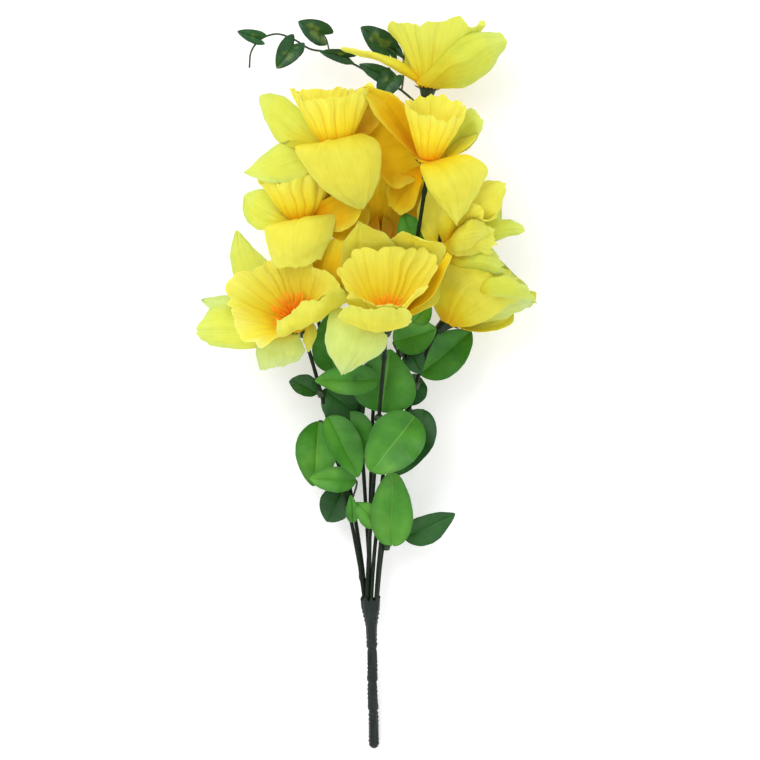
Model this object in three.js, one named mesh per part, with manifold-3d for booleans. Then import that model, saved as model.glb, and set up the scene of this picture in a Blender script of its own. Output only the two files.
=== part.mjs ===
// A bunch of nine fabric daffodils on wire stems, joined in one moulded handle, lying on a table.
// Millimetres. +Y runs from the handle's tip towards the blooms, +X is right and +Z is up from the table.
import * as THREE from "three";
import { mergeVertices } from "three/addons/utils/BufferGeometryUtils.js";
import Module from "manifold-3d";

const wasm = await Module();
wasm.setup();

// Driving dimensions

const GAP = 0.3; // clearance between pieces that touch on the real bunch

const HANDLE = {
  tip: [0, 3, 2.55],
  top: [-2, 93, 18],
  radius: 3.1,
  mouthRadius: 5.7,
  rings: [0.25, 0.44, 0.66],
  sides: 10,
};

const STEM = { radius: 1.2, sides: 5, steps: 12, sunk: 9, ring: 3.8 };

const CALYX = { height: 10, neck: 3.5, bore: 2.4, rim: 5, teeth: 6, sides: 8, toothReach: 7.4, flange: 0.8, socket: 3 };

const HUB = { radius: 6.6, height: 2.2 };

const PETAL = { root: 5.3, thickness: 0.8, lengthCells: 4, widthCells: 2, levels: [0.8, 1.75] };

const CORONA = { floor: 1.2, wall: 0.8, pleats: 8, samples: 24, rows: 2 };

const STAMEN = { core: 3.2, coreHeight: 5, sides: 7, count: 6, radius: 0.75, length: 9 };

const LEAF = { thickness: 0.7, lengthCells: 4, widthCells: 2, petiole: 0.8, petioleSides: 3 };

const COLLAR = { bore: 1.75, radius: 2.6, height: 4, sides: 5, bead: 1.3 };

const VINE = { radius: 0.8, sides: 4, steps: 16, petiole: 0.6, leafCells: 3, leafArch: 1.5 };

// General shapes

const radians = (degrees) => (degrees * Math.PI) / 180;
const vector = (point) => new THREE.Vector3(...point);

// A closed geometry as a solid for joining and cutting, with its faces turned outwards.
function solidOf(geometry) {
  const loose = geometry.index ? geometry.toNonIndexed() : geometry;
  const bare = new THREE.BufferGeometry();
  bare.setAttribute("position", loose.getAttribute("position"));
  const merged = mergeVertices(bare, 1e-3);
  const vertProperties = merged.attributes.position.array;
  const triVerts = new Uint32Array(merged.index.array);
  const make = () => new wasm.Manifold(new wasm.Mesh({ numProp: 3, vertProperties, triVerts }));
  const made = make();
  if (made.volume() > 0) return made;
  for (let i = 0; i < triVerts.length; i += 3) {
    [triVerts[i + 1], triVerts[i + 2]] = [triVerts[i + 2], triVerts[i + 1]];
  }
  return make();
}

// A joined or cut solid as a geometry that a mesh can draw.
function geometryOf(solid) {
  const mesh = solid.getMesh();
  const geometry = new THREE.BufferGeometry();
  geometry.setAttribute("position", new THREE.BufferAttribute(mesh.vertProperties, 3));
  geometry.setIndex(new THREE.BufferAttribute(mesh.triVerts, 1));
  geometry.computeVertexNormals();
  return geometry;
}

// The pieces as one solid, with any pocket that they close off filled and its slivers smoothed away.
function joined(solids) {
  const whole = solids.reduce((sum, piece) => sum.add(piece)).simplify(0.12);
  return whole.decompose().reduce((a, b) => (b.volume() > a.volume() ? b : a));
}

// A closed sheet of the given thickness round the surface(s, v), s from 0 to 1 and v from -1 to 1.
// Both faces are split into triangles alike.
function blade(surface, lengthCells, widthCells, thickness) {
  const columns = widthCells + 1;
  const rows = lengthCells + 1;
  const middle = [];
  for (let i = 0; i < rows; i++) {
    for (let j = 0; j < columns; j++) {
      middle.push(surface(i / lengthCells, (2 * j) / widthCells - 1));
    }
  }
  const at = (i, j) => middle[i * columns + j];
  const upper = [];
  const lower = [];
  for (let i = 0; i < rows; i++) {
    for (let j = 0; j < columns; j++) {
      const along = at(Math.min(i + 1, rows - 1), j).clone().sub(at(Math.max(i - 1, 0), j));
      const across = at(i, Math.min(j + 1, columns - 1)).clone().sub(at(i, Math.max(j - 1, 0)));
      const normal = along.cross(across).normalize().multiplyScalar(thickness / 2);
      upper.push(at(i, j).clone().add(normal));
      lower.push(at(i, j).clone().sub(normal));
    }
  }
  const points = [...upper, ...lower];
  const under = rows * columns;
  const index = [];
  for (let i = 0; i < lengthCells; i++) {
    for (let j = 0; j < widthCells; j++) {
      const a = i * columns + j;
      const b = a + 1;
      const c = a + columns;
      const d = c + 1;
      index.push(a, c, b, b, c, d);
      index.push(a + under, b + under, c + under, b + under, d + under, c + under);
    }
  }
  const edge = [];
  for (let j = 0; j < widthCells; j++) edge.push(j);
  for (let i = 0; i < lengthCells; i++) edge.push(i * columns + widthCells);
  for (let j = widthCells; j > 0; j--) edge.push(lengthCells * columns + j);
  for (let i = lengthCells; i > 0; i--) edge.push(i * columns);
  edge.forEach((a, k) => {
    const b = edge[(k + 1) % edge.length];
    index.push(a, b, a + under, b, b + under, a + under);
  });
  const geometry = new THREE.BufferGeometry();
  geometry.setAttribute("position", new THREE.Float32BufferAttribute(points.flatMap((p) => p.toArray()), 3));
  geometry.setIndex(index);
  return geometry;
}

// A round tube along a curve.
function tube(curve, radius, sides, steps) {
  const outline = new THREE.Shape();
  for (let k = 0; k < sides; k++) {
    const turn = (2 * Math.PI * k) / sides;
    if (k === 0) outline.moveTo(radius, 0);
    else outline.lineTo(radius * Math.cos(turn), radius * Math.sin(turn));
  }
  outline.closePath();
  return new THREE.ExtrudeGeometry(outline, { steps, extrudePath: curve, bevelEnabled: false });
}

// A profile of [radius, height] points turned about +Z.
function turned(profile, sides) {
  const points = profile.map(([radius, height]) => new THREE.Vector2(radius, height));
  return new THREE.LatheGeometry(points, sides).rotateX(Math.PI / 2);
}

// The turn that takes +Z to the direction `face` and +X as near to the world's up as that allows.
// Without a tilt to the side, a bloom's azimuth 0 is its front, seen from above, and 90 its right.
function facing(face) {
  const z = vector(face).normalize();
  const x = new THREE.Vector3(0, 0, 1).addScaledVector(z, -z.z).normalize();
  const y = z.clone().cross(x);
  return new THREE.Matrix4().makeBasis(x, y, z);
}

// Petals

// Half-width of a petal from its root to its tip, as a share of its widest half-width.
function petalOutline(s, base, point) {
  const widest = 0.55;
  if (s < widest) return base + (1 - base) * Math.sin((Math.PI / 2) * (s / widest)) ** 0.9;
  const past = (s - widest) / (1 - widest);
  return Math.max((1 - past ** 2.2) ** point, 0.03);
}

// The middle surface of one petal in its bloom's frame: it leaves the axis at `lift` degrees above the
// plane across the axis, turns `bend` degrees more by its tip, and is cupped and waved at its sides.
function petalSurface(petal, level) {
  const { turn, lift, bend, length, width, base, cup, wave, phase, twist, sway, point } = petal;
  const out = new THREE.Vector3(Math.cos(radians(turn)), Math.sin(radians(turn)), 0);
  const side = new THREE.Vector3(-out.y, out.x, 0);
  const first = radians(lift);
  const more = radians(bend) || 1e-4;
  return (s, v) => {
    const angle = first + more * s;
    const reach = PETAL.root + (length * (Math.sin(angle) - Math.sin(first))) / more;
    const rise = level + (length * (Math.cos(first) - Math.cos(angle))) / more;
    const half = (width / 2) * petalOutline(s, base, point);
    const roll = radians(twist) * s;
    const wavy = wave * s * Math.abs(v) ** 1.5 * Math.sin(2.2 * Math.PI * s + phase + (v > 0 ? 2 : 0));
    const lifted = cup * half * v * v + wavy;
    const across = half * v;
    const sideways = across * Math.cos(roll) - lifted * Math.sin(roll) + sway * s * s;
    const outwards = across * Math.sin(roll) + lifted * Math.cos(roll);
    return new THREE.Vector3(0, 0, rise + outwards * Math.cos(angle))
      .addScaledVector(out, reach - outwards * Math.sin(angle))
      .addScaledVector(side, sideways);
  };
}

const PLAIN_PETAL = {
  lift: 22,
  bend: 12,
  length: 54,
  width: 34,
  base: 0.36,
  cup: 0.14,
  wave: 1.4,
  twist: 0,
  sway: 0,
  point: 0.75,
};

// The six petals of a bloom in two whorls, grown together with the small disc that they spring from.
function petalsGeometry(petals) {
  const disc = solidOf(turned([[0, 0], [HUB.radius, 0], [HUB.radius, HUB.height], [0, HUB.height]], 8));
  const raised = [...petals].sort((a, b) => b.lift - a.lift).slice(0, 3);
  const blades = petals.map((petal, k) => {
    const level = PETAL.levels[raised.includes(petal) ? 1 : 0];
    const surface = petalSurface({ ...PLAIN_PETAL, phase: 1.7 * k, ...petal }, level);
    return solidOf(blade(surface, PETAL.lengthCells, PETAL.widthCells, PETAL.thickness));
  });
  return geometryOf(joined([disc, ...blades]));
}

// Corona, stamens, calyx

// A point on the outside of the trumpet at the angle `turn` and the share h of its length, in from the
// outside by `inset`. Its pleats deepen towards the frilled mouth.
function coronaPoint(corona, turn, h, inset) {
  const { length, root, mouth, flare, pleat, frill, oval, ovalTurn, phase, lip, lipTurn } = corona;
  const pleats = Math.cos(CORONA.pleats * turn + phase);
  const flat = 1 + oval * h * Math.cos(2 * (turn - radians(ovalTurn)));
  const radius = (root + (mouth - root) * h ** flare) * flat * (1 + pleat * h * pleats) - inset;
  const leaning = lip * h * h * Math.cos(turn - radians(lipTurn));
  const height = length * h + frill * h ** 4 * Math.cos(2 * CORONA.pleats * turn / 3 + 2 * phase) - leaning;
  return new THREE.Vector3(radius * Math.cos(turn), radius * Math.sin(turn), height);
}

const PLAIN_CORONA = {
  length: 33,
  root: 5.4,
  mouth: 22,
  flare: 0.95,
  pleat: 0.1,
  frill: 1.6,
  oval: 0,
  ovalTurn: 0,
  phase: 0,
  lip: 0,
  lipTurn: 0,
};

// The pleated trumpet: a thin wall that is open at its mouth, and a floor that it stands on.
function coronaGeometry(shape) {
  const corona = { ...PLAIN_CORONA, ...shape };
  const { samples, rows, wall, floor } = CORONA;
  const points = [];
  for (const inset of [0, wall]) {
    for (let i = 0; i <= rows; i++) {
      for (let k = 0; k < samples; k++) {
        const point = coronaPoint(corona, (2 * Math.PI * k) / samples, i / rows, inset);
        if (inset && i === 0) point.z = floor;
        points.push(point);
      }
    }
  }
  const ring = (layer, i, k) => (layer * (rows + 1) + i) * samples + (k % samples);
  const bottom = points.push(new THREE.Vector3(0, 0, 0)) - 1;
  const top = points.push(new THREE.Vector3(0, 0, floor)) - 1;
  const index = [];
  for (let k = 0; k < samples; k++) {
    for (let i = 0; i < rows; i++) {
      const [a, b, c, d] = [ring(0, i, k), ring(0, i, k + 1), ring(0, i + 1, k), ring(0, i + 1, k + 1)];
      index.push(a, b, c, b, d, c);
      const [e, f, g, h] = [ring(1, i, k), ring(1, i, k + 1), ring(1, i + 1, k), ring(1, i + 1, k + 1)];
      index.push(e, g, f, f, g, h);
    }
    const [c, d] = [ring(0, rows, k), ring(0, rows, k + 1)];
    const [g, h] = [ring(1, rows, k), ring(1, rows, k + 1)];
    index.push(c, d, g, d, h, g);
    index.push(bottom, ring(0, 0, k + 1), ring(0, 0, k));
    index.push(top, ring(1, 0, k), ring(1, 0, k + 1));
  }
  const geometry = new THREE.BufferGeometry();
  geometry.setAttribute("position", new THREE.Float32BufferAttribute(points.flatMap((p) => p.toArray()), 3));
  geometry.setIndex(index);
  geometry.computeVertexNormals();
  return geometry;
}

// The tuft of stamens at the bottom of the trumpet: a domed core with leaning threads.
function stamensGeometry() {
  const { core, coreHeight, sides, count, radius, length } = STAMEN;
  const dome = solidOf(turned([[0, 0], [core, 0], [core * 0.9, coreHeight * 0.6], [0, coreHeight]], sides));
  const threads = [];
  for (let k = 0; k < count; k++) {
    const outer = k % 2 === 0;
    const turn = (2 * Math.PI * k) / count;
    const lean = radians(outer ? 30 : 12);
    const thread = new THREE.ConeGeometry(radius, length, 3).translate(0, length / 2, 0);
    thread.rotateX(Math.PI / 2).rotateY(lean).rotateZ(turn);
    const stand = core * (outer ? 0.55 : 0.3);
    thread.translate(stand * Math.cos(turn), stand * Math.sin(turn), coreHeight * 0.35);
    threads.push(solidOf(thread));
  }
  return geometryOf(joined([dome, ...threads]));
}

// The green cup under the petals: a cone with a toothed rim and a socket for the stem.
function calyxGeometry() {
  const { height, neck, bore, rim, teeth, sides, toothReach, flange, socket } = CALYX;
  const profile = [[0, 0], [rim, 0], [rim, -1], [neck + 0.5, -height * 0.55], [neck, -height]];
  profile.push([bore + 0.5, -height], [bore, -height + socket], [0, -height + socket]);
  const star = new THREE.Shape();
  for (let k = 0; k < 2 * teeth; k++) {
    const reach = k % 2 ? rim - 0.6 : toothReach;
    const turn = (Math.PI * k) / teeth;
    if (k === 0) star.moveTo(reach, 0);
    else star.lineTo(reach * Math.cos(turn), reach * Math.sin(turn));
  }
  star.closePath();
  const crown = new THREE.ExtrudeGeometry(star, { depth: flange, bevelEnabled: false });
  crown.translate(0, 0, -flange);
  return geometryOf(solidOf(turned(profile, sides)).add(solidOf(crown)));
}

// The nine blooms

// Each bloom: where its petals spring from, the way it faces, its six petals by their turn round that
// way (0 is towards the eye above, 90 to the right), and its trumpet.
const BLOOMS = {
  top: {
    at: [33, 405, 39.6],
    face: [0.12, 0.98, -0.02],
    bow: [16, 0, -12],
    petals: [
      { turn: 54, lift: 26, bend: 12, length: 58, width: 42, twist: -34 },
      { turn: 100, lift: 30, bend: 10, length: 46, width: 28 },
      { turn: 142, lift: 28, bend: 10, length: 52, width: 30 },
      { turn: 170, lift: 42, bend: 18, length: 46, width: 28 },
      { turn: 198, lift: 46, bend: 10, length: 40, width: 24 },
      { turn: 276, lift: 22, bend: -4, length: 51, width: 26 },
    ],
    corona: { mouth: 24, length: 37, phase: 0.4 },
  },
  upper_left: {
    at: [-22, 366, 78],
    face: [-0.02, 0.93, 0.34],
    bow: [0, 0, -8],
    petals: [
      { turn: 18, lift: -6, bend: -46, length: 58, width: 42, base: 0.6, point: 0.8 },
      { turn: 90, lift: 8, bend: -6, length: 34, width: 30, twist: 24 },
      { turn: 146, lift: 30, bend: 4, length: 34 },
      { turn: 190, lift: 40, bend: 14, length: 46 },
      { turn: 246, lift: 26, bend: 4, length: 54, width: 38, point: 0.5, twist: -30 },
      { turn: 288, lift: 2, bend: -4, length: 56, twist: -34 },
    ],
    corona: { mouth: 24, length: 31, oval: 0.06, ovalTurn: 90, phase: 0.9, lip: 4, lipTurn: 60 },
  },
  upper_right: {
    at: [33, 358, 88],
    face: [0.12, 0.96, 0.18],
    bow: [0, 0, -18],
    petals: [
      { turn: 34, lift: -8, bend: -44, length: 48, width: 38, base: 0.6 },
      { turn: 74, lift: 0, bend: -8, length: 42, width: 36, twist: 34 },
      { turn: 80, lift: 40, bend: 8, length: 44, point: 0.5, twist: -30 },
      { turn: 140, lift: 38, bend: 14, length: 42 },
      { turn: 190, lift: 40, bend: 10, length: 38 },
      { turn: 292, lift: 42, bend: 6, length: 58, width: 24 },
    ],
    corona: { mouth: 19, length: 36, phase: 2.1 },
  },
  middle_left: {
    at: [-44, 322, 60],
    face: [-0.1, 0.95, 0.26],
    bow: [0, 0, -8],
    petals: [
      { turn: 4, lift: -4, bend: -54, length: 46, width: 42, base: 0.8, point: 0.45 },
      { turn: 44, lift: 14, bend: 4, length: 34, width: 28 },
      { turn: 130, lift: 28, bend: 12, length: 40 },
      { turn: 184, lift: 36, bend: 10, length: 42 },
      { turn: 240, lift: 22, bend: 8, length: 44, width: 36, point: 0.45, twist: -20 },
      { turn: 302, lift: 30, bend: 16, length: 28, width: 26 },
    ],
    corona: { mouth: 22, length: 28, phase: 0.2, oval: 0.05, ovalTurn: 90 },
  },
  lower_left: {
    at: [-46, 260, 64],
    face: [-0.3, 0.6, 0.74],
    petals: [
      { turn: 320, lift: -2, bend: -18, length: 32, width: 34, point: 0.45 },
      { turn: 60, lift: 10, bend: 10, length: 34, width: 30 },
      { turn: 126, lift: 24, bend: 6, length: 36 },
      { turn: 190, lift: 24, bend: 2, length: 62 },
      { turn: 222, lift: 12, bend: -4, length: 54, width: 26 },
      { turn: 250, lift: 0, bend: -10, length: 58, width: 36, point: 0.5 },
    ],
    corona: { mouth: 30, length: 27, flare: 0.9, phase: 1.2 },
  },
  lower_middle: {
    at: [8, 262, 90],
    face: [0.06, 0.82, 0.56],
    bow: [0, 0, -14],
    petals: [
      { turn: 350, lift: 36, bend: 6, length: 34, width: 46, base: 0.6, point: 0.45 },
      { turn: 110, lift: 38, bend: 6, length: 48, width: 40 },
      { turn: 146, lift: 30, bend: 4, length: 44 },
      { turn: 178, lift: 36, bend: 4, length: 52, width: 28 },
      { turn: 212, lift: 30, bend: 4, length: 56 },
      { turn: 325, lift: -6, bend: -36, length: 50, width: 36 },
    ],
    corona: { mouth: 29, length: 30, flare: 0.9, phase: 0.5, lip: 4 },
  },
  lower_right: {
    at: [46, 263, 42],
    face: [0.74, 0.66, -0.1],
    petals: [
      { turn: 10, lift: 46, bend: 26, length: 46, width: 44 },
      { turn: 80, lift: 50, bend: 16, length: 50, width: 36 },
      { turn: 140, lift: 48, bend: 18, length: 42, width: 30 },
      { turn: 200, lift: 50, bend: 16, length: 42, width: 30 },
      { turn: 250, lift: 46, bend: 18, length: 44, width: 30 },
      { turn: 300, lift: 24, bend: 54, length: 54, width: 40 },
    ],
    corona: { root: 5, mouth: 11, length: 26, phase: 0.3 },
  },
  middle_right: {
    at: [44, 316, 66],
    face: [0.66, 0.68, 0.3],
    bow: [4, 0, 4],
    petals: [
      { turn: 355, lift: 40, bend: 10, length: 30, width: 26 },
      { turn: 52, lift: 30, bend: 8, length: 32, width: 28 },
      { turn: 88, lift: 50, bend: 4, length: 44, width: 22 },
      { turn: 160, lift: 34, bend: 10, length: 40 },
      { turn: 240, lift: 34, bend: 8, length: 32 },
      { turn: 300, lift: 34, bend: 8, length: 34, width: 28 },
    ],
    corona: { mouth: 18, length: 33, phase: 1.8 },
  },
  back: {
    at: [4, 310, 31.5],
    face: [-0.05, 0.97, 0.16],
    bow: [-4, 0, -4],
    petals: [
      { turn: 10, lift: 44, bend: 10, length: 40 },
      { turn: 72, lift: 40, bend: 16, length: 36, width: 30 },
      { turn: 130, lift: 40, bend: 20, length: 36, width: 30 },
      { turn: 186, lift: 48, bend: 16, length: 38, width: 30 },
      { turn: 234, lift: 16, bend: 16, length: 48 },
      { turn: 300, lift: 36, bend: 10, length: 40 },
    ],
    corona: { root: 5, mouth: 16, length: 28, phase: 0.7 },
  },
};

// Stems and handle

// The slots of the handle's mouth, by their angle from the right towards up.
const SLOTS = {
  upper_left: null,
  lower_right: 355,
  middle_right: 40,
  upper_right: 85,
  lower_middle: 130,
  lower_left: 175,
  middle_left: 220,
  back: 265,
  top: 310,
};

const handleTip = vector(HANDLE.tip);
const handleTop = vector(HANDLE.top);
const handleWay = handleTop.clone().sub(handleTip).normalize();

// A stem runs from its slot along the handle and ends in its calyx. A stem that leans in its calyx
// stops a little lower, so that its rim stays clear of the socket's floor.
function stemCurve(name) {
  const { at, face, bow = [0, 0, 0] } = BLOOMS[name];
  const way = vector(face).normalize();
  const end = vector(at).addScaledVector(way, -(CALYX.height - CALYX.socket + 2 * GAP));
  const slot = SLOTS[name];
  const across = slot === null ? 0 : STEM.ring;
  const spread = new THREE.Vector3(Math.cos(radians(slot)), 0, Math.sin(radians(slot)));
  const start = handleTop.clone().addScaledVector(handleWay, -STEM.sunk).addScaledVector(spread, across);
  const distance = start.distanceTo(end);
  const early = start.clone().addScaledVector(handleWay, 0.2 * distance);
  early.addScaledVector(vector(bow), 0.4);
  const late = end.clone().addScaledVector(way, -0.12 * distance).add(vector(bow));
  const lean = end.clone().sub(late).angleTo(way);
  end.addScaledVector(way, -STEM.radius * Math.sin(lean));
  return new THREE.CubicBezierCurve3(start, early, late, end);
}

const stemTube = (curve, radius) => tube(curve, radius, STEM.sides, STEM.steps);
const curves = Object.fromEntries(Object.keys(BLOOMS).map((name) => [name, stemCurve(name)]));

function handleGeometry() {
  const { radius, mouthRadius, rings, sides } = HANDLE;
  const length = handleTip.distanceTo(handleTop);
  const profile = [[0, 0], [radius * 0.62, 0.3], [radius * 0.95, 2.2], [radius, 4]];
  for (const ring of rings) {
    const middle = ring * length;
    profile.push([radius * 0.88, middle], [radius * 1.1, middle + 2.5]);
  }
  profile.push([radius * 1.05, length * 0.8], [mouthRadius, length * 0.93], [mouthRadius, length], [0, length]);
  const turn = new THREE.Quaternion().setFromUnitVectors(new THREE.Vector3(0, 0, 1), handleWay);
  const body = turned(profile, sides).applyQuaternion(turn).translate(...handleTip.toArray());
  const holes = Object.values(curves).map((curve) => solidOf(stemTube(curve, STEM.radius + GAP)));
  return geometryOf(holes.reduce((whole, hole) => whole.subtract(hole), solidOf(body)));
}

// Leaves

// The point on a stem's straight-sided tube where it passes the height y, and its way there.
function alongStem(curve, y) {
  const points = curve.getSpacedPoints(STEM.steps);
  const k = Math.max(points.findIndex((point) => point.y > y), 1);
  const [before, after] = [points[k - 1], points[k]];
  const share = (y - before.y) / (after.y - before.y);
  return { point: before.clone().lerp(after, share), way: after.clone().sub(before).normalize() };
}

// Half-width of a leaf at the share s of its length, as a share of its widest half-width.
const OUTLINES = {
  ovate: (s) => Math.max(Math.sin(Math.PI * s ** 0.78) ** 0.8, s < 0.5 ? 0.14 : 0.04),
  heart: (s) => Math.max((1 - s) ** 0.75 * (0.6 + 1.7 * s) ** 0.6, 0.04),
};

// The middle surface of one leaf from its root to its tip. `roll` turns its face about its length away
// from the eye above, `arch` lifts its middle and `fold` raises its two halves like a book. A heart has
// lobes at its root.
function leafSurface({ root, tip, width, roll = 0, arch = 3, fold = 0.15, kind = "ovate" }) {
  const from = vector(root);
  const span = vector(tip).sub(from);
  const way = span.clone().normalize();
  const up = new THREE.Vector3(0, 0, 1).addScaledVector(way, -way.z).normalize();
  up.applyAxisAngle(way, radians(roll));
  const side = up.clone().cross(way);
  const lobes = kind === "heart" ? 0.16 : 0;
  return (s, v) => {
    const half = (width / 2) * OUTLINES[kind](s);
    const along = s - lobes * v * v * (1 - s) ** 2;
    const height = 4 * arch * s * (1 - s) + fold * half * Math.abs(v);
    return from.clone().addScaledVector(span, along).addScaledVector(side, half * v).addScaledVector(up, height);
  };
}

function leafSolid(surface, lengthCells) {
  return solidOf(blade(surface, lengthCells, LEAF.widthCells, LEAF.thickness));
}

// A short straight stalk from one point to another.
function stalk(from, to, radius, sides) {
  const span = to.clone().sub(from);
  const turn = new THREE.Quaternion().setFromUnitVectors(new THREE.Vector3(0, 1, 0), span.clone().normalize());
  const shape = new THREE.CylinderGeometry(radius * 0.8, radius, span.length(), sides);
  return shape.translate(0, span.length() / 2, 0).applyQuaternion(turn).translate(...from.toArray());
}

// The ring that holds a sprig on its stem.
function collarSolid({ point, way }) {
  const { bore, radius, height, sides } = COLLAR;
  const profile = [[bore, -height / 2], [radius, -height / 2], [radius, height / 2], [bore, height / 2]];
  profile.push(profile[0]);
  const turn = new THREE.Quaternion().setFromUnitVectors(new THREE.Vector3(0, 0, 1), way);
  return solidOf(turned(profile, sides).applyQuaternion(turn).translate(...point.toArray()));
}

// Sprigs by name: the stem that each holds on to, the height of its collar and its leaves. Where the
// stems run too close for a collar, a bead lies beside the stem instead.
const SPRIGS = {
  low_right: {
    stem: "lower_right",
    y: 124,
    beside: [1, 0, 0.1],
    leaves: [
      { root: [10, 126, 29], tip: [16, 171, 44], width: 22, arch: 3 },
      { root: [19, 128, 24], tip: [50, 144, 30], width: 15, roll: 20 },
      { root: [7, 138, 36], tip: [-6, 151, 38], width: 12 },
    ],
  },
  right: {
    stem: "lower_right",
    y: 207,
    leaves: [
      { root: [31, 208, 50], tip: [0, 174, 58], width: 32, arch: 4 },
      { root: [34, 206, 41], tip: [18, 170, 43], width: 20 },
      { root: [21, 211, 31], tip: [25, 229, 26], width: 11, roll: 20 },
    ],
  },
  upper_right: {
    stem: "lower_right",
    y: 223,
    leaves: [{ root: [29, 228, 34], tip: [59, 252, 28], width: 25 }],
  },
  middle_right: {
    stem: "upper_right",
    y: 243,
    leaves: [
      { root: [14, 248, 53], tip: [36, 252, 51], width: 16 },
      { root: [25, 258, 60], tip: [34, 276, 66], width: 13 },
      { root: [20, 240, 56], tip: [30, 233, 56], width: 10 },
    ],
  },
  middle: {
    stem: "lower_middle",
    y: 203,
    leaves: [
      { root: [4, 207, 45], tip: [10, 245, 53], width: 34, arch: 2 },
      { root: [-1, 229, 57], tip: [-33, 224, 51], width: 14 },
    ],
  },
  left: {
    stem: "lower_left",
    y: 200,
    leaves: [
      { root: [-34, 199, 32], tip: [-41, 163, 23], width: 22 },
      { root: [-28, 203, 44], tip: [-10, 167, 44], width: 13, roll: -30 },
    ],
  },
  upper_left: {
    stem: "lower_left",
    y: 218,
    leaves: [
      { root: [-36, 219, 38], tip: [-51, 223, 34], width: 12, roll: 20 },
      { root: [-27, 221, 42], tip: [-21, 207, 40], width: 11 },
    ],
  },
  inner_left: {
    stem: "middle_left",
    y: 230,
    leaves: [{ root: [-24, 232, 39], tip: [-27, 266, 45], width: 12 }],
  },
  inner_low: {
    stem: "middle_left",
    y: 207,
    leaves: [{ root: [-18, 203, 37], tip: [-7, 181, 37], width: 15 }],
  },
  low_left: {
    stem: "lower_left",
    y: 148,
    leaves: [
      { root: [-19, 157, 23], tip: [-26, 141, 19], width: 13 },
      { root: [-13, 139, 34], tip: [-14, 155, 38], width: 7 },
      { root: [-13, 163, 37], tip: [-40, 166, 36], width: 12 },
    ],
  },
  top: {
    stem: "upper_right",
    y: 307,
    leaves: [{ root: [25, 308, 61], tip: [17, 327, 64], width: 15 }],
  },
};

function sprigGeometry({ stem, y, beside, leaves }) {
  const hold = alongStem(curves[stem], y);
  const pieces = [];
  if (beside) {
    hold.point.addScaledVector(vector(beside).normalize(), STEM.radius + GAP + COLLAR.bead);
    pieces.push(solidOf(new THREE.OctahedronGeometry(COLLAR.bead).translate(...hold.point.toArray())));
  } else {
    pieces.push(collarSolid(hold));
  }
  for (const leaf of leaves) {
    const root = vector(leaf.root);
    const outwards = root.clone().sub(hold.point);
    outwards.addScaledVector(hold.way, -outwards.dot(hold.way)).normalize();
    const reach = beside ? 0 : (COLLAR.bore + COLLAR.radius) / 2;
    const start = hold.point.clone().addScaledVector(outwards, reach);
    const surface = leafSurface(leaf);
    pieces.push(solidOf(stalk(start, surface(0.1, 0), LEAF.petiole, LEAF.petioleSides)));
    pieces.push(leafSolid(surface, LEAF.lengthCells));
  }
  return geometryOf(joined(pieces));
}

// Vine

// The vine below the top bloom: its way from its collar to its curled tip, and its heart-shaped leaves,
// each with the point of the vine or of a branch that its stalk leaves from.
const VINE_HOLD = { stem: "top", y: 391 };
const VINE_PATH = [
  [30.5, 391, 40],
  [25, 397, 38],
  [17, 404, 37],
  [8, 409.5, 36],
  [-1, 413.5, 36],
  [-8, 418, 35],
  [-16, 422, 34],
  [-27, 427.5, 33],
  [-39, 429.6, 33],
  [-49, 435.4, 34],
  [-59.4, 438.8, 35],
  [-69.2, 435.7, 36],
  [-75.3, 428.1, 36],
  [-76.5, 418, 35],
];
const VINE_BRANCHES = [[[17, 404, 37], [18, 412, 22]], [[18, 412, 22], [18.2, 426, 28]]];
const VINE_LEAVES = [
  { root: [-70.5, 437, 37], tip: [-83, 440, 39], width: 9, from: [-69.2, 435.7, 36] },
  { root: [-51, 429, 37], tip: [-62, 418, 40], width: 14, from: [-45, 433, 33.5] },
  { root: [-31, 437.5, 35], tip: [-48, 446, 37], width: 13, from: [-27, 427.5, 33] },
  { root: [-17, 422, 38], tip: [-33, 426, 40], width: 9, from: [-12, 420, 34.5] },
  { root: [9, 431, 29], tip: [-8, 444, 31], width: 15, from: [18.2, 424, 28] },
  { root: [18.4, 428, 28.5], tip: [15, 443, 29], width: 9, from: [18.2, 425, 28] },
  { root: [13, 407.5, 41], tip: [1.5, 411, 43], width: 8, from: [12, 407.1, 36.4] },
  { root: [15, 405, 42], tip: [10, 394, 45], width: 11, from: [17, 404, 37] },
];

function vineGeometry() {
  const path = new THREE.CatmullRomCurve3(VINE_PATH.map(vector));
  const pieces = [collarSolid(alongStem(curves[VINE_HOLD.stem], VINE_HOLD.y))];
  pieces.push(solidOf(tube(path, VINE.radius, VINE.sides, VINE.steps)));
  for (const [from, to] of VINE_BRANCHES) {
    pieces.push(solidOf(stalk(vector(from), vector(to), VINE.radius, VINE.sides)));
  }
  for (const { from, ...leaf } of VINE_LEAVES) {
    const surface = leafSurface({ ...leaf, kind: "heart", arch: VINE.leafArch });
    pieces.push(solidOf(stalk(vector(from), surface(0.1, 0), VINE.petiole, LEAF.petioleSides)));
    pieces.push(leafSolid(surface, VINE.leafCells));
  }
  return geometryOf(joined(pieces));
}

// The bunch

const MATERIALS = {
  petal: new THREE.MeshStandardMaterial({ color: "#e9e23a", roughness: 0.85, metalness: 0 }),
  corona: new THREE.MeshStandardMaterial({ color: "#f6dc2c", roughness: 0.85, metalness: 0 }),
  stamen: new THREE.MeshStandardMaterial({ color: "#f58a12", roughness: 0.8, metalness: 0 }),
  stem: new THREE.MeshStandardMaterial({ color: "#2d3a2b", roughness: 0.55, metalness: 0 }),
  leaf: new THREE.MeshStandardMaterial({ color: "#3f8a2c", roughness: 0.6, metalness: 0 }),
  vine: new THREE.MeshStandardMaterial({ color: "#2f6b35", roughness: 0.45, metalness: 0 }),
};

function piece(name, geometry, material) {
  const mesh = new THREE.Mesh(geometry, material.clone());
  mesh.name = name;
  return mesh;
}

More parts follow.
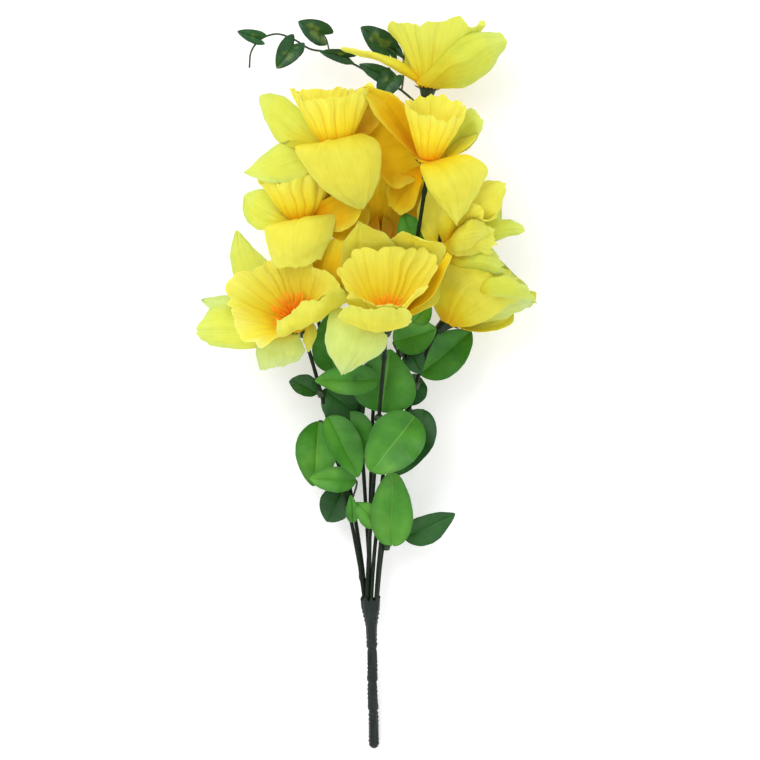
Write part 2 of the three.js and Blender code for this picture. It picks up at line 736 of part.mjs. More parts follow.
const bunch = new THREE.Group();
const stamens = stamensGeometry();
const calyx = calyxGeometry();

for (const [name, { at, face, petals, corona }] of Object.entries(BLOOMS)) {
  const bloom = new THREE.Group();
  bloom.applyMatrix4(facing(face));
  bloom.position.set(...at);
  const trumpet = piece(`corona_${name}`, coronaGeometry(corona), MATERIALS.corona);
  trumpet.position.z = HUB.height + GAP;
  const tuft = piece(`stamens_${name}`, stamens, MATERIALS.stamen);
  tuft.position.z = HUB.height + CORONA.floor + 2 * GAP;
  const cup = piece(`calyx_${name}`, calyx, MATERIALS.stem);
  cup.position.z = -GAP;
  bloom.add(piece(`petals_${name}`, petalsGeometry(petals), MATERIALS.petal), trumpet, tuft, cup);
  bunch.add(bloom, piece(`stem_${name}`, stemTube(curves[name], STEM.radius), MATERIALS.stem));
}
for (const [name, sprig] of Object.entries(SPRIGS)) {
  bunch.add(piece(`leaves_${name}`, sprigGeometry(sprig), MATERIALS.leaf));
}
bunch.add(piece("vine", vineGeometry(), MATERIALS.vine));
bunch.add(piece("handle", handleGeometry(), MATERIALS.stem));

// The origin is under the middle of the bunch, on the table.
const extent = new THREE.Box3().setFromObject(bunch, true);
const middle = extent.getCenter(new THREE.Vector3());
bunch.position.set(-middle.x, -middle.y, -extent.min.z);

export default bunch;
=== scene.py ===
"""Dresses a bunch of nine fabric daffodils that lies on a table.

Shapes are worked out in millimetres in the bunch's own frame, in which the handle's tip is at the
origin and +Y runs to the blooms. They are turned into metres in the shared frame as each mesh is made.
"""

import logging
import math
from dataclasses import dataclass, replace
from enum import Enum

import bmesh
import bpy
import numpy as np
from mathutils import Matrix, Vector


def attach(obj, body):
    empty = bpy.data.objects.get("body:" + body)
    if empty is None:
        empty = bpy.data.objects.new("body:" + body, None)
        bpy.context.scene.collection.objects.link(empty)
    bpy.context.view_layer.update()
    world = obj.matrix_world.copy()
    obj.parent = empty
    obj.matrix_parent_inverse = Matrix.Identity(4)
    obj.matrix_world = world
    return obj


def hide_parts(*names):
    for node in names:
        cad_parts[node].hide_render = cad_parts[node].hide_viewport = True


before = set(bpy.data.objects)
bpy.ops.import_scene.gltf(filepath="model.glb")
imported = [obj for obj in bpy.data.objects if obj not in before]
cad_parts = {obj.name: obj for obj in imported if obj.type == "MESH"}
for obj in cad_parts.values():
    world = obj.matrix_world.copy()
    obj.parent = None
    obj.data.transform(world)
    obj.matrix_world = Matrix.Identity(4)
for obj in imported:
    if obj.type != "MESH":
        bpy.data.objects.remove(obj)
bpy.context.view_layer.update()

LOG = logging.getLogger("daffodils")

Point = tuple[float, float, float]
Colour = tuple[float, float, float, float]
Socket = bpy.types.NodeSocket
Material = bpy.types.Material

METRES = 0.001
UP = np.array([0.0, 0.0, 1.0])
# Where the bunch's own origin lies in the shared frame, in millimetres.
SHIFT = np.array([2.277, -225.730, 0.006])


# General maths


def unit(vectors: np.ndarray) -> np.ndarray:
    """Scale vectors, held on the last axis, to a length of one."""
    return vectors / np.maximum(np.linalg.norm(vectors, axis=-1, keepdims=True), 1e-9)


def spoke(turn: float) -> np.ndarray:
    """Point away from the z axis, at an angle in radians."""
    return np.array([math.cos(turn), math.sin(turn), 0.0])


def swell(x: np.ndarray, seed: int, waves: int = 5, gain: float = 0.6) -> np.ndarray:
    """Make a smooth random ripple along one axis.

    Args:
        x: Where to read the ripple; it has about one wave per unit.
        seed: Which ripple.
        waves: How many sines are added, each about twice as fast as the last.
        gain: Strength of each sine next to the one before it.

    Returns:
        Values mostly between -1 and 1, in the shape of x.
    """
    draw = np.random.default_rng(seed)
    total = np.zeros_like(x, dtype=float)
    for k in range(waves):
        speed = 2.0**k * draw.uniform(0.8, 1.2)
        total = total + gain**k * np.sin(2 * np.pi * speed * x + draw.uniform(0, 2 * np.pi))
    return total * (1 - gain)


def ragged(turn: np.ndarray, corners: int, seed: int) -> np.ndarray:
    """Make a random zigzag round a circle.

    Args:
        turn: Angles in radians.
        corners: How many corners it has.
        seed: Which zigzag.

    Returns:
        Values between -1 and 1, in the shape of turn.
    """
    draw = np.random.default_rng(seed)
    places = (np.arange(corners) + draw.uniform(-0.35, 0.35, corners)) * 2 * np.pi / corners
    return np.interp(turn, places, draw.uniform(-1, 1, corners), period=2 * np.pi)


def above_table(points: np.ndarray, least: float = 0.6, soft: float = 0.8) -> np.ndarray:
    """Press what would sink into the table flat just above it.

    Args:
        points: Points in millimetres, last axis x, y, z.
        least: Lowest height that is left.
        soft: How gently it bends there.

    Returns:
        The points, in the same shape.
    """
    raised = points.copy()
    raised[..., 2] = least + soft * np.logaddexp(0, (points[..., 2] - least) / soft)
    return raised


def crumple(points: np.ndarray, seed: int, size: float, strength: np.ndarray, waves: int = 6) -> np.ndarray:
    """Push points about smoothly and at random.

    Args:
        points: Points in millimetres, last axis x, y, z.
        seed: Which field of pushes.
        size: Length of its largest waves, in millimetres.
        strength: About how far each point is pushed, in millimetres.
        waves: How many plane waves are added.

    Returns:
        The pushed points, in the same shape.
    """
    draw = np.random.default_rng(seed)
    total = np.zeros_like(points)
    for _ in range(waves):
        way = unit(draw.normal(size=3)) * 2 * np.pi / (size * draw.uniform(0.6, 1.5))
        push = unit(draw.normal(size=3))
        total = total + np.sin(points @ way + draw.uniform(0, 2 * np.pi))[..., None] * push
    return points + total * (1.6 / waves) ** 0.5 * 0.7 * strength[..., None]


def spread_sheet(rows: np.ndarray, columns: int) -> tuple[np.ndarray, np.ndarray, np.ndarray]:
    """Spread places over a sheet.

    Args:
        rows: Share of the length at each row, from 0 to 1.
        columns: How many columns it has.

    Returns:
        Share of the length, place across from -1 to 1, and UV places, all rows x columns.
    """
    s = rows[:, None] * np.ones((1, columns))
    v = np.linspace(-1, 1, columns)[None, :] * np.ones((len(rows), 1))
    return s, v, np.stack([(v + 1) / 2, s], -1)


def grid_normals(grid: np.ndarray) -> np.ndarray:
    """Work out the unit normals of a grid of points, rows x columns x 3."""
    return unit(np.cross(np.gradient(grid, axis=0), np.gradient(grid, axis=1)))


def round_rings(path: np.ndarray, radii: np.ndarray, sides: int) -> np.ndarray:
    """Set rings of points round a path, without twist.

    Args:
        path: Points of the path, n x 3.
        radii: Radius at each point.
        sides: Points in a ring.

    Returns:
        Points as n x sides x 3.
    """
    ways = unit(np.gradient(path, axis=0))
    first = np.cross(ways[0], UP)
    if np.linalg.norm(first) < 0.1:
        first = np.cross(ways[0], [1.0, 0.0, 0.0])
    first = unit(first)
    turns = np.linspace(0, 2 * np.pi, sides, endpoint=False)
    rings = []
    for point, way, radius in zip(path, ways, radii):
        first = unit(first - way * (first @ way))
        second = np.cross(way, first)
        rings.append(point + (np.outer(np.cos(turns), first) + np.outer(np.sin(turns), second)) * radius)
    return np.array(rings)


def bezier(corners: list[np.ndarray], steps: int) -> np.ndarray:
    """Follow a cubic Bezier curve.

    Args:
        corners: Its four control points.
        steps: How many stretches it is cut into.

    Returns:
        Points of the curve, (steps + 1) x 3.
    """
    t = np.linspace(0, 1, steps + 1)[:, None]
    a, b, c, d = corners
    return a * (1 - t) ** 3 + 3 * b * t * (1 - t) ** 2 + 3 * c * t**2 * (1 - t) + d * t**3


def smooth_path(points: np.ndarray, steps: int) -> np.ndarray:
    """Run a smooth curve through given points.

    Args:
        points: The points to pass, n x 3.
        steps: How many points each stretch between two of them gets.

    Returns:
        Points of the curve.
    """
    ends = np.vstack([2 * points[0] - points[1], points, 2 * points[-1] - points[-2]])
    t = np.linspace(0, 1, steps, endpoint=False)[:, None]
    stretches = []
    for a, b, c, d in zip(ends, ends[1:], ends[2:], ends[3:]):
        curve = 2 * b + (c - a) * t + (2 * a - 5 * b + 4 * c - d) * t**2 + (3 * b - a - 3 * c + d) * t**3
        stretches.append(curve / 2)
    return np.vstack(stretches + [points[-1:]])


# Meshes


class Skin:
    """Gathers grids of points into one closed mesh with its UV map."""

    WELD = 2e-6
    SHORTEST = 1e-6

    def __init__(self) -> None:
        """Start an empty skin."""
        self.points: list[np.ndarray] = []
        self.faces: list[np.ndarray] = []
        self.coords: list[np.ndarray] = []
        self.finishes: list[np.ndarray] = []
        self.count = 0

    def add_points(self, grid: np.ndarray) -> np.ndarray:
        """Store points and number them.

        Args:
            grid: Points with x, y and z on the last axis.

        Returns:
            Their numbers, in the shape of the grid.
        """
        shape = grid.shape[:-1]
        numbers = np.arange(self.count, self.count + int(np.prod(shape))).reshape(shape)
        self.points.append(grid.reshape(-1, 3))
        self.count += numbers.size
        return numbers

    def add_quads(self, numbers: np.ndarray, uv: np.ndarray, finish: int, flip: bool = False) -> None:
        """Fill a grid of numbered points with faces.

        Args:
            numbers: Point numbers as rows x columns.
            uv: UV places as rows x columns x 2.
            finish: Number of the material.
            flip: Whether the faces look the other way.
        """
        def corners(values: np.ndarray) -> np.ndarray:
            """Pair each cell with its four corners, in turn."""
            cell = [values[:-1, :-1], values[:-1, 1:], values[1:, 1:], values[1:, :-1]]
            return np.stack(cell[::-1] if flip else cell, axis=2)

        quads = corners(numbers).reshape(-1, 4)
        self.faces.append(quads)
        self.coords.append(corners(uv).reshape(-1, 2))
        self.finishes.append(np.full(len(quads), finish))

    def patch(self, grid: np.ndarray, uv: np.ndarray, finish: int, flip: bool = False,
              wrap: bool = False) -> np.ndarray:
        """Add one face of a sheet.

        Args:
            grid: Points as rows x columns x 3.
            uv: UV places, with one more column than the grid where it wraps.
            finish: Number of the material.
            flip: Whether it looks the other way.
            wrap: Whether the last column meets the first.

        Returns:
            The point numbers, with the first column again at the end where it wraps.
        """
        numbers = self.add_points(grid)
        if wrap:
            numbers = np.hstack([numbers, numbers[:, :1]])
        self.add_quads(numbers, uv, finish, flip)
        return numbers

    def fan(self, ring: np.ndarray, centre: np.ndarray, uv: np.ndarray, finish: int,
            flip: bool = False) -> None:
        """Close a ring of points with a fan of faces.

        Args:
            ring: Point numbers round the ring, the first again at the end.
            centre: The fan's middle point.
            uv: UV places of the ring.
            finish: Number of the material.
            flip: Whether the faces look the other way.
        """
        middle = self.add_points(centre[None, None, :])
        numbers = np.stack([ring, np.full(ring.shape, middle[0, 0])])
        self.add_quads(numbers, np.stack([uv, uv]), finish, flip)

    def blade(self, middle: np.ndarray, uv: np.ndarray, thickness: float, finish: int = 0) -> None:
        """Add a thin closed sheet round a grid of middle points.

        Args:
            middle: Points as rows x columns x 3.
            uv: UV places as rows x columns x 2.
            thickness: Thickness in millimetres.
            finish: Number of the material.
        """
        push = grid_normals(middle) * thickness / 2
        upper = self.patch(middle + push, uv, finish)
        lower = self.patch(middle - push, uv, finish, flip=True)

        def around(values: np.ndarray) -> np.ndarray:
            """Walk round the outside of a grid, back to its start."""
            walk = [values[0, :-1], values[:-1, -1], values[-1, :0:-1], values[::-1, 0]]
            return np.concatenate(walk)

        rim = np.stack([around(lower), around(upper)])
        self.add_quads(rim, np.stack([around(uv), around(uv)]), finish)

    def sleeve(self, rings: np.ndarray, finish: int = 0, span: tuple[float, float] = (0.0, 1.0)) -> None:
        """Add a closed body of rings of points, with flat ends.

        Args:
            rings: Points as rings x sides x 3.
            finish: Number of the material.
            span: V at its start and its end.
        """
        steps, sides = rings.shape[:2]
        u = np.linspace(0, 1, sides + 1)[None, :].repeat(steps, 0)
        v = np.linspace(*span, steps)[:, None].repeat(sides + 1, 1)
        uv = np.stack([u, v], -1)
        numbers = self.patch(rings, uv, finish, wrap=True)
        for row in (0, -1):
            self.fan(numbers[row], rings[row].mean(0), uv[row], finish, flip=row == 0)

    def tube(self, path: np.ndarray, radii: np.ndarray | float, sides: int, finish: int = 0,
             span: tuple[float, float] = (0.0, 1.0)) -> None:
        """Add a closed round tube along a path.

        Args:
            path: Points of the path.
            radii: One radius, or one for each point.
            sides: Points in a ring.
            finish: Number of the material.
            span: V at its start and its end.
        """
        radii = np.broadcast_to(np.asarray(radii, float), (len(path),))
        self.sleeve(round_rings(path, radii, sides), finish, span)

    def build(self, name: str, materials: list[Material], crease: float = 50.0) -> bpy.types.Object:
        """Make the Blender object.

        Args:
            name: Name of the object.
            materials: Materials by their numbers.
            crease: Edges that bend by more than this many degrees stay sharp.

        Returns:
            The object, in metres in the shared frame.
        """
        points = (np.vstack(self.points) + SHIFT) * METRES
        mesh = bpy.data.meshes.new(name)
        mesh.from_pydata(points.tolist(), [], np.vstack(self.faces).tolist())
        layer = mesh.uv_layers.new(name="Cut")
        layer.data.foreach_set("uv", np.vstack(self.coords).astype(np.float32).ravel())
        mesh.polygons.foreach_set("material_index", np.concatenate(self.finishes).astype(np.int32))
        for material in materials:
            mesh.materials.append(material)
        cleaned = bmesh.new()
        cleaned.from_mesh(mesh)
        bmesh.ops.remove_doubles(cleaned, verts=cleaned.verts, dist=self.WELD)
        bmesh.ops.dissolve_degenerate(cleaned, edges=cleaned.edges, dist=self.SHORTEST)
        bmesh.ops.recalc_face_normals(cleaned, faces=cleaned.faces)
        cleaned.to_mesh(mesh)
        cleaned.free()
        mesh.polygons.foreach_set("use_smooth", [True] * len(mesh.polygons))
        mesh.set_sharp_from_angle(angle=math.radians(crease))
        made = bpy.data.objects.new(name, mesh)
        bpy.context.scene.collection.objects.link(made)
        return made


# Finishes


def linear(colour: str) -> Colour:
    """Turn a colour such as #f4e23a into Blender's linear values.

    Args:
        colour: Seven characters, a hash and three pairs of hex digits.

    Returns:
        Red, green, blue and an alpha of one.
    """
    parts = [int(colour[k:k + 2], 16) / 255 for k in (1, 3, 5)]
    shares = [p / 12.92 if p <= 0.04045 else ((p + 0.055) / 1.055) ** 2.4 for p in parts]
    return shares[0], shares[1], shares[2], 1.0


class Sketch:
    """A material's nodes, added one after another."""

    def __init__(self, name: str) -> None:
        """Start a material with its shader and its place on the object.

        Args:
            name: Name of the material.
        """
        self.material = bpy.data.materials.new(name)
        self.material.use_nodes = True
        self.nodes = self.material.node_tree.nodes
        self.links = self.material.node_tree.links
        self.shader = self.nodes["Principled BSDF"]
        self.place = self.add("TexCoord").outputs["Object"]

    def add(self, kind: str, inputs: dict | None = None, **settings: object) -> bpy.types.Node:
        """Add a node.

        Args:
            kind: Its type, without the ShaderNode in front.
            inputs: Values or sockets for its inputs, by name or number.
            settings: Its other properties.

        Returns:
            The node.
        """
        node = self.nodes.new("ShaderNode" + kind)
        for key, value in settings.items():
            setattr(node, key, value)
        for key, value in (inputs or {}).items():
            self.feed(node.inputs[key], value)
        return node

    def feed(self, socket: Socket, value: object) -> None:
        """Give a socket a link or a value.

        Args:
            socket: The input.
            value: Another node's output, or the value itself.
        """
        if isinstance(value, Socket):
            self.links.new(value, socket)
        else:
            socket.default_value = value

    def maths(self, operation: str, a: object, b: object = 0.0, clamp: bool = False) -> Socket:
        """Combine two numbers, held between 0 and 1 if clamped."""
        return self.add("Math", {0: a, 1: b}, operation=operation, use_clamp=clamp).outputs[0]

    def plus(self, a: object, b: object, clamp: bool = False) -> Socket:
        """Add two numbers, held between 0 and 1 if clamped."""
        return self.maths("ADD", a, b, clamp)

    def minus(self, a: object, b: object) -> Socket:
        """Take the second number from the first."""
        return self.maths("SUBTRACT", a, b)

    def times(self, a: object, b: object) -> Socket:
        """Multiply two numbers."""
        return self.maths("MULTIPLY", a, b)

    def cut(self) -> tuple[Socket, Socket]:
        """Read U and V, where a point lies on its piece's cut."""
        apart = self.add("SeparateXYZ", {0: self.add("UVMap", uv_map="Cut").outputs[0]})
        return apart.outputs[0], apart.outputs[1]

    def across(self, u: Socket) -> Socket:
        """Turn U into a distance from the piece's middle line, from 0 to 1."""
        return self.maths("ABSOLUTE", self.minus(self.times(u, 2.0), 1.0))

    def comb(self, value: Socket) -> Socket:
        """Fall from 0.5 to 0 and rise again once per unit."""
        return self.maths("ABSOLUTE", self.minus(self.maths("FRACT", value), 0.5))

    def noise(self, vector: Socket, scale: float, detail: float = 3.0) -> Socket:
        """Read a noise of so many waves per unit and finer layers; it is about 0.5 in the middle."""
        return self.add("TexNoise", {"Vector": vector, "Scale": scale, "Detail": detail}).outputs[0]

    def drift(self, scale: float, width: float) -> Socket:
        """Waver round 0 by a width, so that no colour ends on a straight line."""
        return self.minus(self.times(self.noise(self.place, scale), width), width / 2)

    def streaks(self, u: Socket, v: Socket, squeeze: float, scale: float) -> Socket:
        """Read a noise that runs in lines along V."""
        drawn = self.add("CombineXYZ", {0: u, 1: self.times(v, squeeze)}).outputs[0]
        return self.noise(drawn, scale, 5.0)

    def ramp(self, value: Socket, stops: list[tuple[float, str]]) -> Socket:
        """Turn a number into a colour.

        Args:
            value: The number.
            stops: Places from 0 to 1, each with its colour.

        Returns:
            The colour's socket.
        """
        node = self.add("ValToRGB", {0: value})
        band = node.color_ramp
        while len(band.elements) < len(stops):
            band.elements.new(1.0)
        for element, (place, colour) in zip(band.elements, stops):
            element.position = place
            element.color = linear(colour)
        return node.outputs[0]

    def steps(self, value: object, low: float, high: float) -> Socket:
        """Rise smoothly from 0 at the low value to 1 at the high one."""
        ends = {0: value, 1: low, 2: high, 3: 0.0, 4: 1.0}
        return self.add("MapRange", ends, interpolation_type="SMOOTHSTEP").outputs[0]

    def mix(self, share: object, a: object, b: object, blend: str = "MIX") -> Socket:
        """Mix a share of the second colour into the first."""
        return self.add("Mix", {0: share, 6: a, 7: b}, data_type="RGBA", blend_type=blend).outputs[2]

    def shade(self, colour: Socket, value: Socket, dark: str, high: float) -> Socket:
        """Tint a colour where a value lies below a high one."""
        return self.mix(0.8, colour, self.ramp(value, [(0.3, dark), (high, "#ffffff")]), "MULTIPLY")

    def bump(self, height: Socket, depth: float) -> None:
        """Raise the surface by a height from 0 to 1, which is so many millimetres deep."""
        node = self.add("Bump", {"Strength": 0.5, "Distance": depth * METRES, "Height": height})
        self.links.new(node.outputs[0], self.shader.inputs["Normal"])

    def set_shader(self, **values: object) -> None:
        """Set the shader's own sockets, by their names with _ for each space."""
        for key, value in values.items():
            self.feed(self.shader.inputs[key.replace("_", " ")], value)


@dataclass(frozen=True)
class Fabric:
    """The streaked, wrinkled and woven surface that petals and trumpets share."""

    name: str

    STREAK_HEIGHT = 0.35
    WRINKLE_SCALE = 260.0
    WRINKLE_HEIGHT = 0.6
    WEAVE_SCALE = 1500.0
    WEAVE_HEIGHT = 0.12
    RELIEF = 0.5
    ROUGHNESS = 0.6
    SHEEN_TINT = (1.0, 0.8, 0.12, 1.0)
    GLOW = 0.5
    GLOW_RADIUS = (1.0, 0.96, 0.6)
    GLOW_DEPTH = 0.0025

    def close(self, s: Sketch, colour: Socket, streak: Socket) -> Material:
        """Give a sketch its relief and its shader's values.

        Args:
            s: The sketch.
            colour: The cloth's colour.
            streak: The streaks that run from root to rim.

        Returns:
            The finished material.
        """
        wrinkle = s.times(s.noise(s.place, self.WRINKLE_SCALE), self.WRINKLE_HEIGHT)
        weave = s.times(s.noise(s.place, self.WEAVE_SCALE, 1.0), self.WEAVE_HEIGHT)
        s.bump(s.plus(s.plus(s.times(streak, self.STREAK_HEIGHT), wrinkle), weave), self.RELIEF)
        s.set_shader(Base_Color=colour, Roughness=self.ROUGHNESS, Specular_IOR_Level=0.08,
                     Sheen_Weight=0.15, Sheen_Roughness=0.45, Sheen_Tint=self.SHEEN_TINT,
                     Subsurface_Weight=self.GLOW, Subsurface_Radius=self.GLOW_RADIUS,
                     Subsurface_Scale=self.GLOW_DEPTH)
        return s.material


@dataclass(frozen=True)
class PetalCloth(Fabric):
    """Thin dyed petal fabric that pales and turns green towards its edge."""

    root: str
    heart: str
    field: str
    edge: str
    rim: str

    def make(self) -> Material:
        """Build the material.

        Returns:
            The material.
        """
        s = Sketch(self.name)
        u, v = s.cut()
        drift = s.drift(55.0, 0.36)
        along = s.plus(v, drift, clamp=True)
        colour = s.ramp(along, [(0.0, self.root), (0.17, self.heart), (0.42, self.field), (0.7, self.field),
                                (0.96, self.edge)])
        margin = s.steps(s.plus(s.across(u), drift), 0.62, 1.05)
        pale = s.times(margin, s.steps(along, 0.25, 0.8))
        colour = s.mix(s.times(pale, 0.7), colour, linear(self.rim))
        streak = s.streaks(u, v, 0.07, 26.0)
        colour = s.shade(colour, streak, "#f5f5ec", 0.65)
        colour = s.shade(colour, s.noise(s.place, 130.0, 2.0), "#f2f4ea", 0.7)
        return self.close(s, colour, streak)


@dataclass(frozen=True)
class TrumpetCloth(Fabric):
    """Deep yellow trumpet fabric, orange at its foot, with painted shade in orange along the creases of its
    pleats.
    """

    foot: str = "#f2930a"
    low: str = "#f5ba12"
    middle: str = "#f4da2e"
    rim: str = "#ebe455"
    # Painted shade in the pleats' creases.
    crease: str = "#eea313"

    STREAK_HEIGHT = 0.4
    WRINKLE_SCALE = 300.0
    WRINKLE_HEIGHT = 0.5
    RELIEF = 0.45
    ROUGHNESS = 0.58
    GLOW = 0.45
    GLOW_RADIUS = (1.0, 0.92, 0.5)

    def make(self) -> Material:
        """Build the material.

        Returns:
            The material.
        """
        s = Sketch(self.name)
        u, v = s.cut()
        along = s.plus(v, s.drift(80.0, 0.24), clamp=True)
        colour = s.ramp(along, [(0.0, self.foot), (0.15, self.low), (0.4, self.middle), (0.92, self.rim)])
        # Painted shade: orange along each pleat's crease, strongest at the foot and fading out towards the
        # rim.
        line = s.steps(s.comb(u), 0.1, 0.0)
        fading = s.steps(along, 1.05, 0.1)
        colour = s.mix(s.times(s.times(line, fading), 0.75), colour, linear(self.crease))
        streak = s.streaks(u, v, 0.25, 5.0)
        return self.close(s, s.shade(colour, streak, "#efefe8", 0.65), streak)


@dataclass(frozen=True)
class StamenThread:
    """Orange moulded threads, lighter at their tips."""

    name: str = "stamen thread"

    def make(self) -> Material:
        """Build the material.

        Returns:
            The material.
        """
        s = Sketch(self.name)
        _, v = s.cut()
        speckle = s.noise(s.place, 900.0)
        colour = s.ramp(s.times(speckle, 0.8), [(0.2, "#f57c06"), (0.4, "#fb9a0c"), (0.6, "#ffb820")])
        lit = s.ramp(v, [(0.0, "#f67c05"), (0.7, "#fc9a0a"), (1.0, "#ffba1e")])
        s.bump(speckle, 0.2)
        s.set_shader(Base_Color=s.mix(0.7, colour, lit), Roughness=0.55, Subsurface_Weight=0.2,
                     Subsurface_Radius=(1.0, 0.4, 0.05), Subsurface_Scale=0.001)
        return s.material


@dataclass(frozen=True)
class CoatedWire:
    """Dark green plastic, scuffed lengthways and a little glossy."""

    name: str
    dark: str
    light: str
    worn: str
    shine: float = 0.45
    roughness: float = 0.42

    def make(self) -> Material:
        """Build the material.

        Returns:
            The material.
        """
        s = Sketch(self.name)
        drawn = s.add("Mapping", {0: s.place, 3: (1.0, 0.16, 1.0)}).outputs[0]
        scuffs = s.noise(drawn, 420.0, 4.0)
        cloud = s.noise(s.place, 45.0)
        colour = s.ramp(s.plus(s.times(scuffs, 0.6), s.times(cloud, 0.4)),
                        [(0.34, self.dark), (0.62, self.light), (0.8, self.worn)])
        grain = s.noise(s.place, 1800.0, 2.0)
        s.bump(s.plus(s.times(scuffs, 0.8), s.times(grain, 0.2)), 0.25)
        ends = {0: cloud, 1: 0.3, 2: 0.7, 3: self.roughness - 0.08, 4: self.roughness + 0.14}
        s.set_shader(Base_Color=colour, Roughness=s.add("MapRange", ends).outputs[0],
                     Specular_IOR_Level=self.shine)
        return s.material


@dataclass(frozen=True)
class LeafCloth:
    """Printed leaf fabric with a pale midrib and side veins, by its UV map."""

    name: str
    deep: str
    body: str
    lit: str
    vein: str
    vein_pairs: float = 9.0
    vein_slant: float = 0.189
    patches: float = 0.0
    roughness: float = 0.5

    def make(self) -> Material:
        """Build the material.

        Returns:
            The material.
        """
        s = Sketch(self.name)
        u, v = s.cut()
        side = s.across(u)
        cloud = s.noise(s.place, 70.0)
        tone = s.plus(s.times(cloud, 0.4), s.times(s.noise(s.place, 26.0, 2.0), 0.6))
        colour = s.ramp(tone, [(0.28, self.deep), (0.5, self.body), (0.78, self.lit)])
        if self.patches:
            blot = s.steps(s.noise(s.place, 150.0, 1.0), 0.52, 0.66)
            centre = s.steps(s.minus(1.0, side), 0.2, 0.7)
            colour = s.mix(s.times(s.times(blot, centre), self.patches), colour, linear(self.vein))
        rows = s.minus(v, s.times(side, self.vein_slant))
        fine = s.steps(s.comb(s.times(rows, self.vein_pairs)), 0.1, 0.0)
        faint = s.steps(s.noise(s.place, 90.0, 1.0), 0.35, 0.75)
        rib = s.steps(side, 0.055, 0.012)
        veins = s.maths("MAXIMUM", s.times(s.times(fine, 0.3), faint), rib)
        colour = s.mix(s.times(veins, 0.26), colour, linear(self.vein))
        margin = s.steps(s.plus(side, s.times(cloud, 0.3)), 0.75, 1.25)
        colour = s.mix(s.times(margin, 0.6), colour, linear(self.deep))
        weave = s.noise(s.place, 1400.0, 1.0)
        height = s.plus(s.times(veins, -0.6), s.times(weave, 0.12))
        s.bump(s.plus(height, s.times(cloud, 0.4)), 0.3)
        s.set_shader(Base_Color=colour, Roughness=self.roughness, Specular_IOR_Level=0.35,
                     Subsurface_Weight=0.12, Subsurface_Radius=(0.5, 1.0, 0.2), Subsurface_Scale=0.0015)
        return s.material


class Slot(Enum):
    """The record's material slots."""

    PETAL = "petal"
    CORONA = "corona"
    STAMEN = "stamen"
    CALYX = "calyx"
    STEM = "stem"
    LEAF = "leaf"
    VINE = "vine"
    HANDLE = "handle"


def settle(piece: bpy.types.Object, node: str) -> None:
    """Tie a piece to the frame and report it.

    Args:
        piece: The finished piece.
        node: The solid that it stands for.
    """
    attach(piece, "root")
    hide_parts(node)
    LOG.info("%s stands for %s, %d faces", piece.name, node, len(piece.data.polygons))


# Blooms


class Tip(Enum):
    """How a petal's end is cut: how late it narrows, how roundly, and the share of width left."""

    POINTED = (1.6, 0.9, 0.02)
    BLUNT = (2.6, 0.62, 0.1)


class Cloth(Enum):
    """The petals' cloths, in the order of their materials on a piece: three dyed cloths and a golden copy
    that is painted shade.
    """

    LEMON = 0
    LIME = 1
    PALE = 2
    # Painted shade: a deeper, oranger copy of the petal cloth for petals that lie in shade.
    GOLDEN = 3


@dataclass(frozen=True)
class Creases:
    """Sharp random creases that are pressed into a petal.

    They lie within a spread of its middle line, which is narrower at the root, are deepest somewhere up
    to the latest share of the length, and are as deep and narrow as a share of the petal's width says.
    """

    count: int
    spread: float
    rooted: float
    latest: float
    depth: float
    narrow: float

    EARLIEST = 0.25
    LASTING = 0.3

    def press(self, s: np.ndarray, v: np.ndarray, width: float, seed: int) -> np.ndarray:
        """Work out how far the creases stand off the cloth.

        Args:
            s: Share of the length.
            v: Place across, from -1 to 1.
            width: Width of the petal, in millimetres.
            seed: Which creases.

        Returns:
            The height, in millimetres.
        """
        draw = np.random.default_rng(seed)
        total = np.zeros_like(s)
        for _ in range(self.count):
            middle = draw.uniform(-self.spread, self.spread) * (self.rooted + (1 - self.rooted) * s)
            fade = np.exp(-(((s - draw.uniform(self.EARLIEST, self.latest)) / self.LASTING) ** 2))
            depth = draw.uniform(-self.depth, self.depth) * width
            total = total + depth * np.exp(-np.abs(v - middle) / self.narrow) * fade
        return total


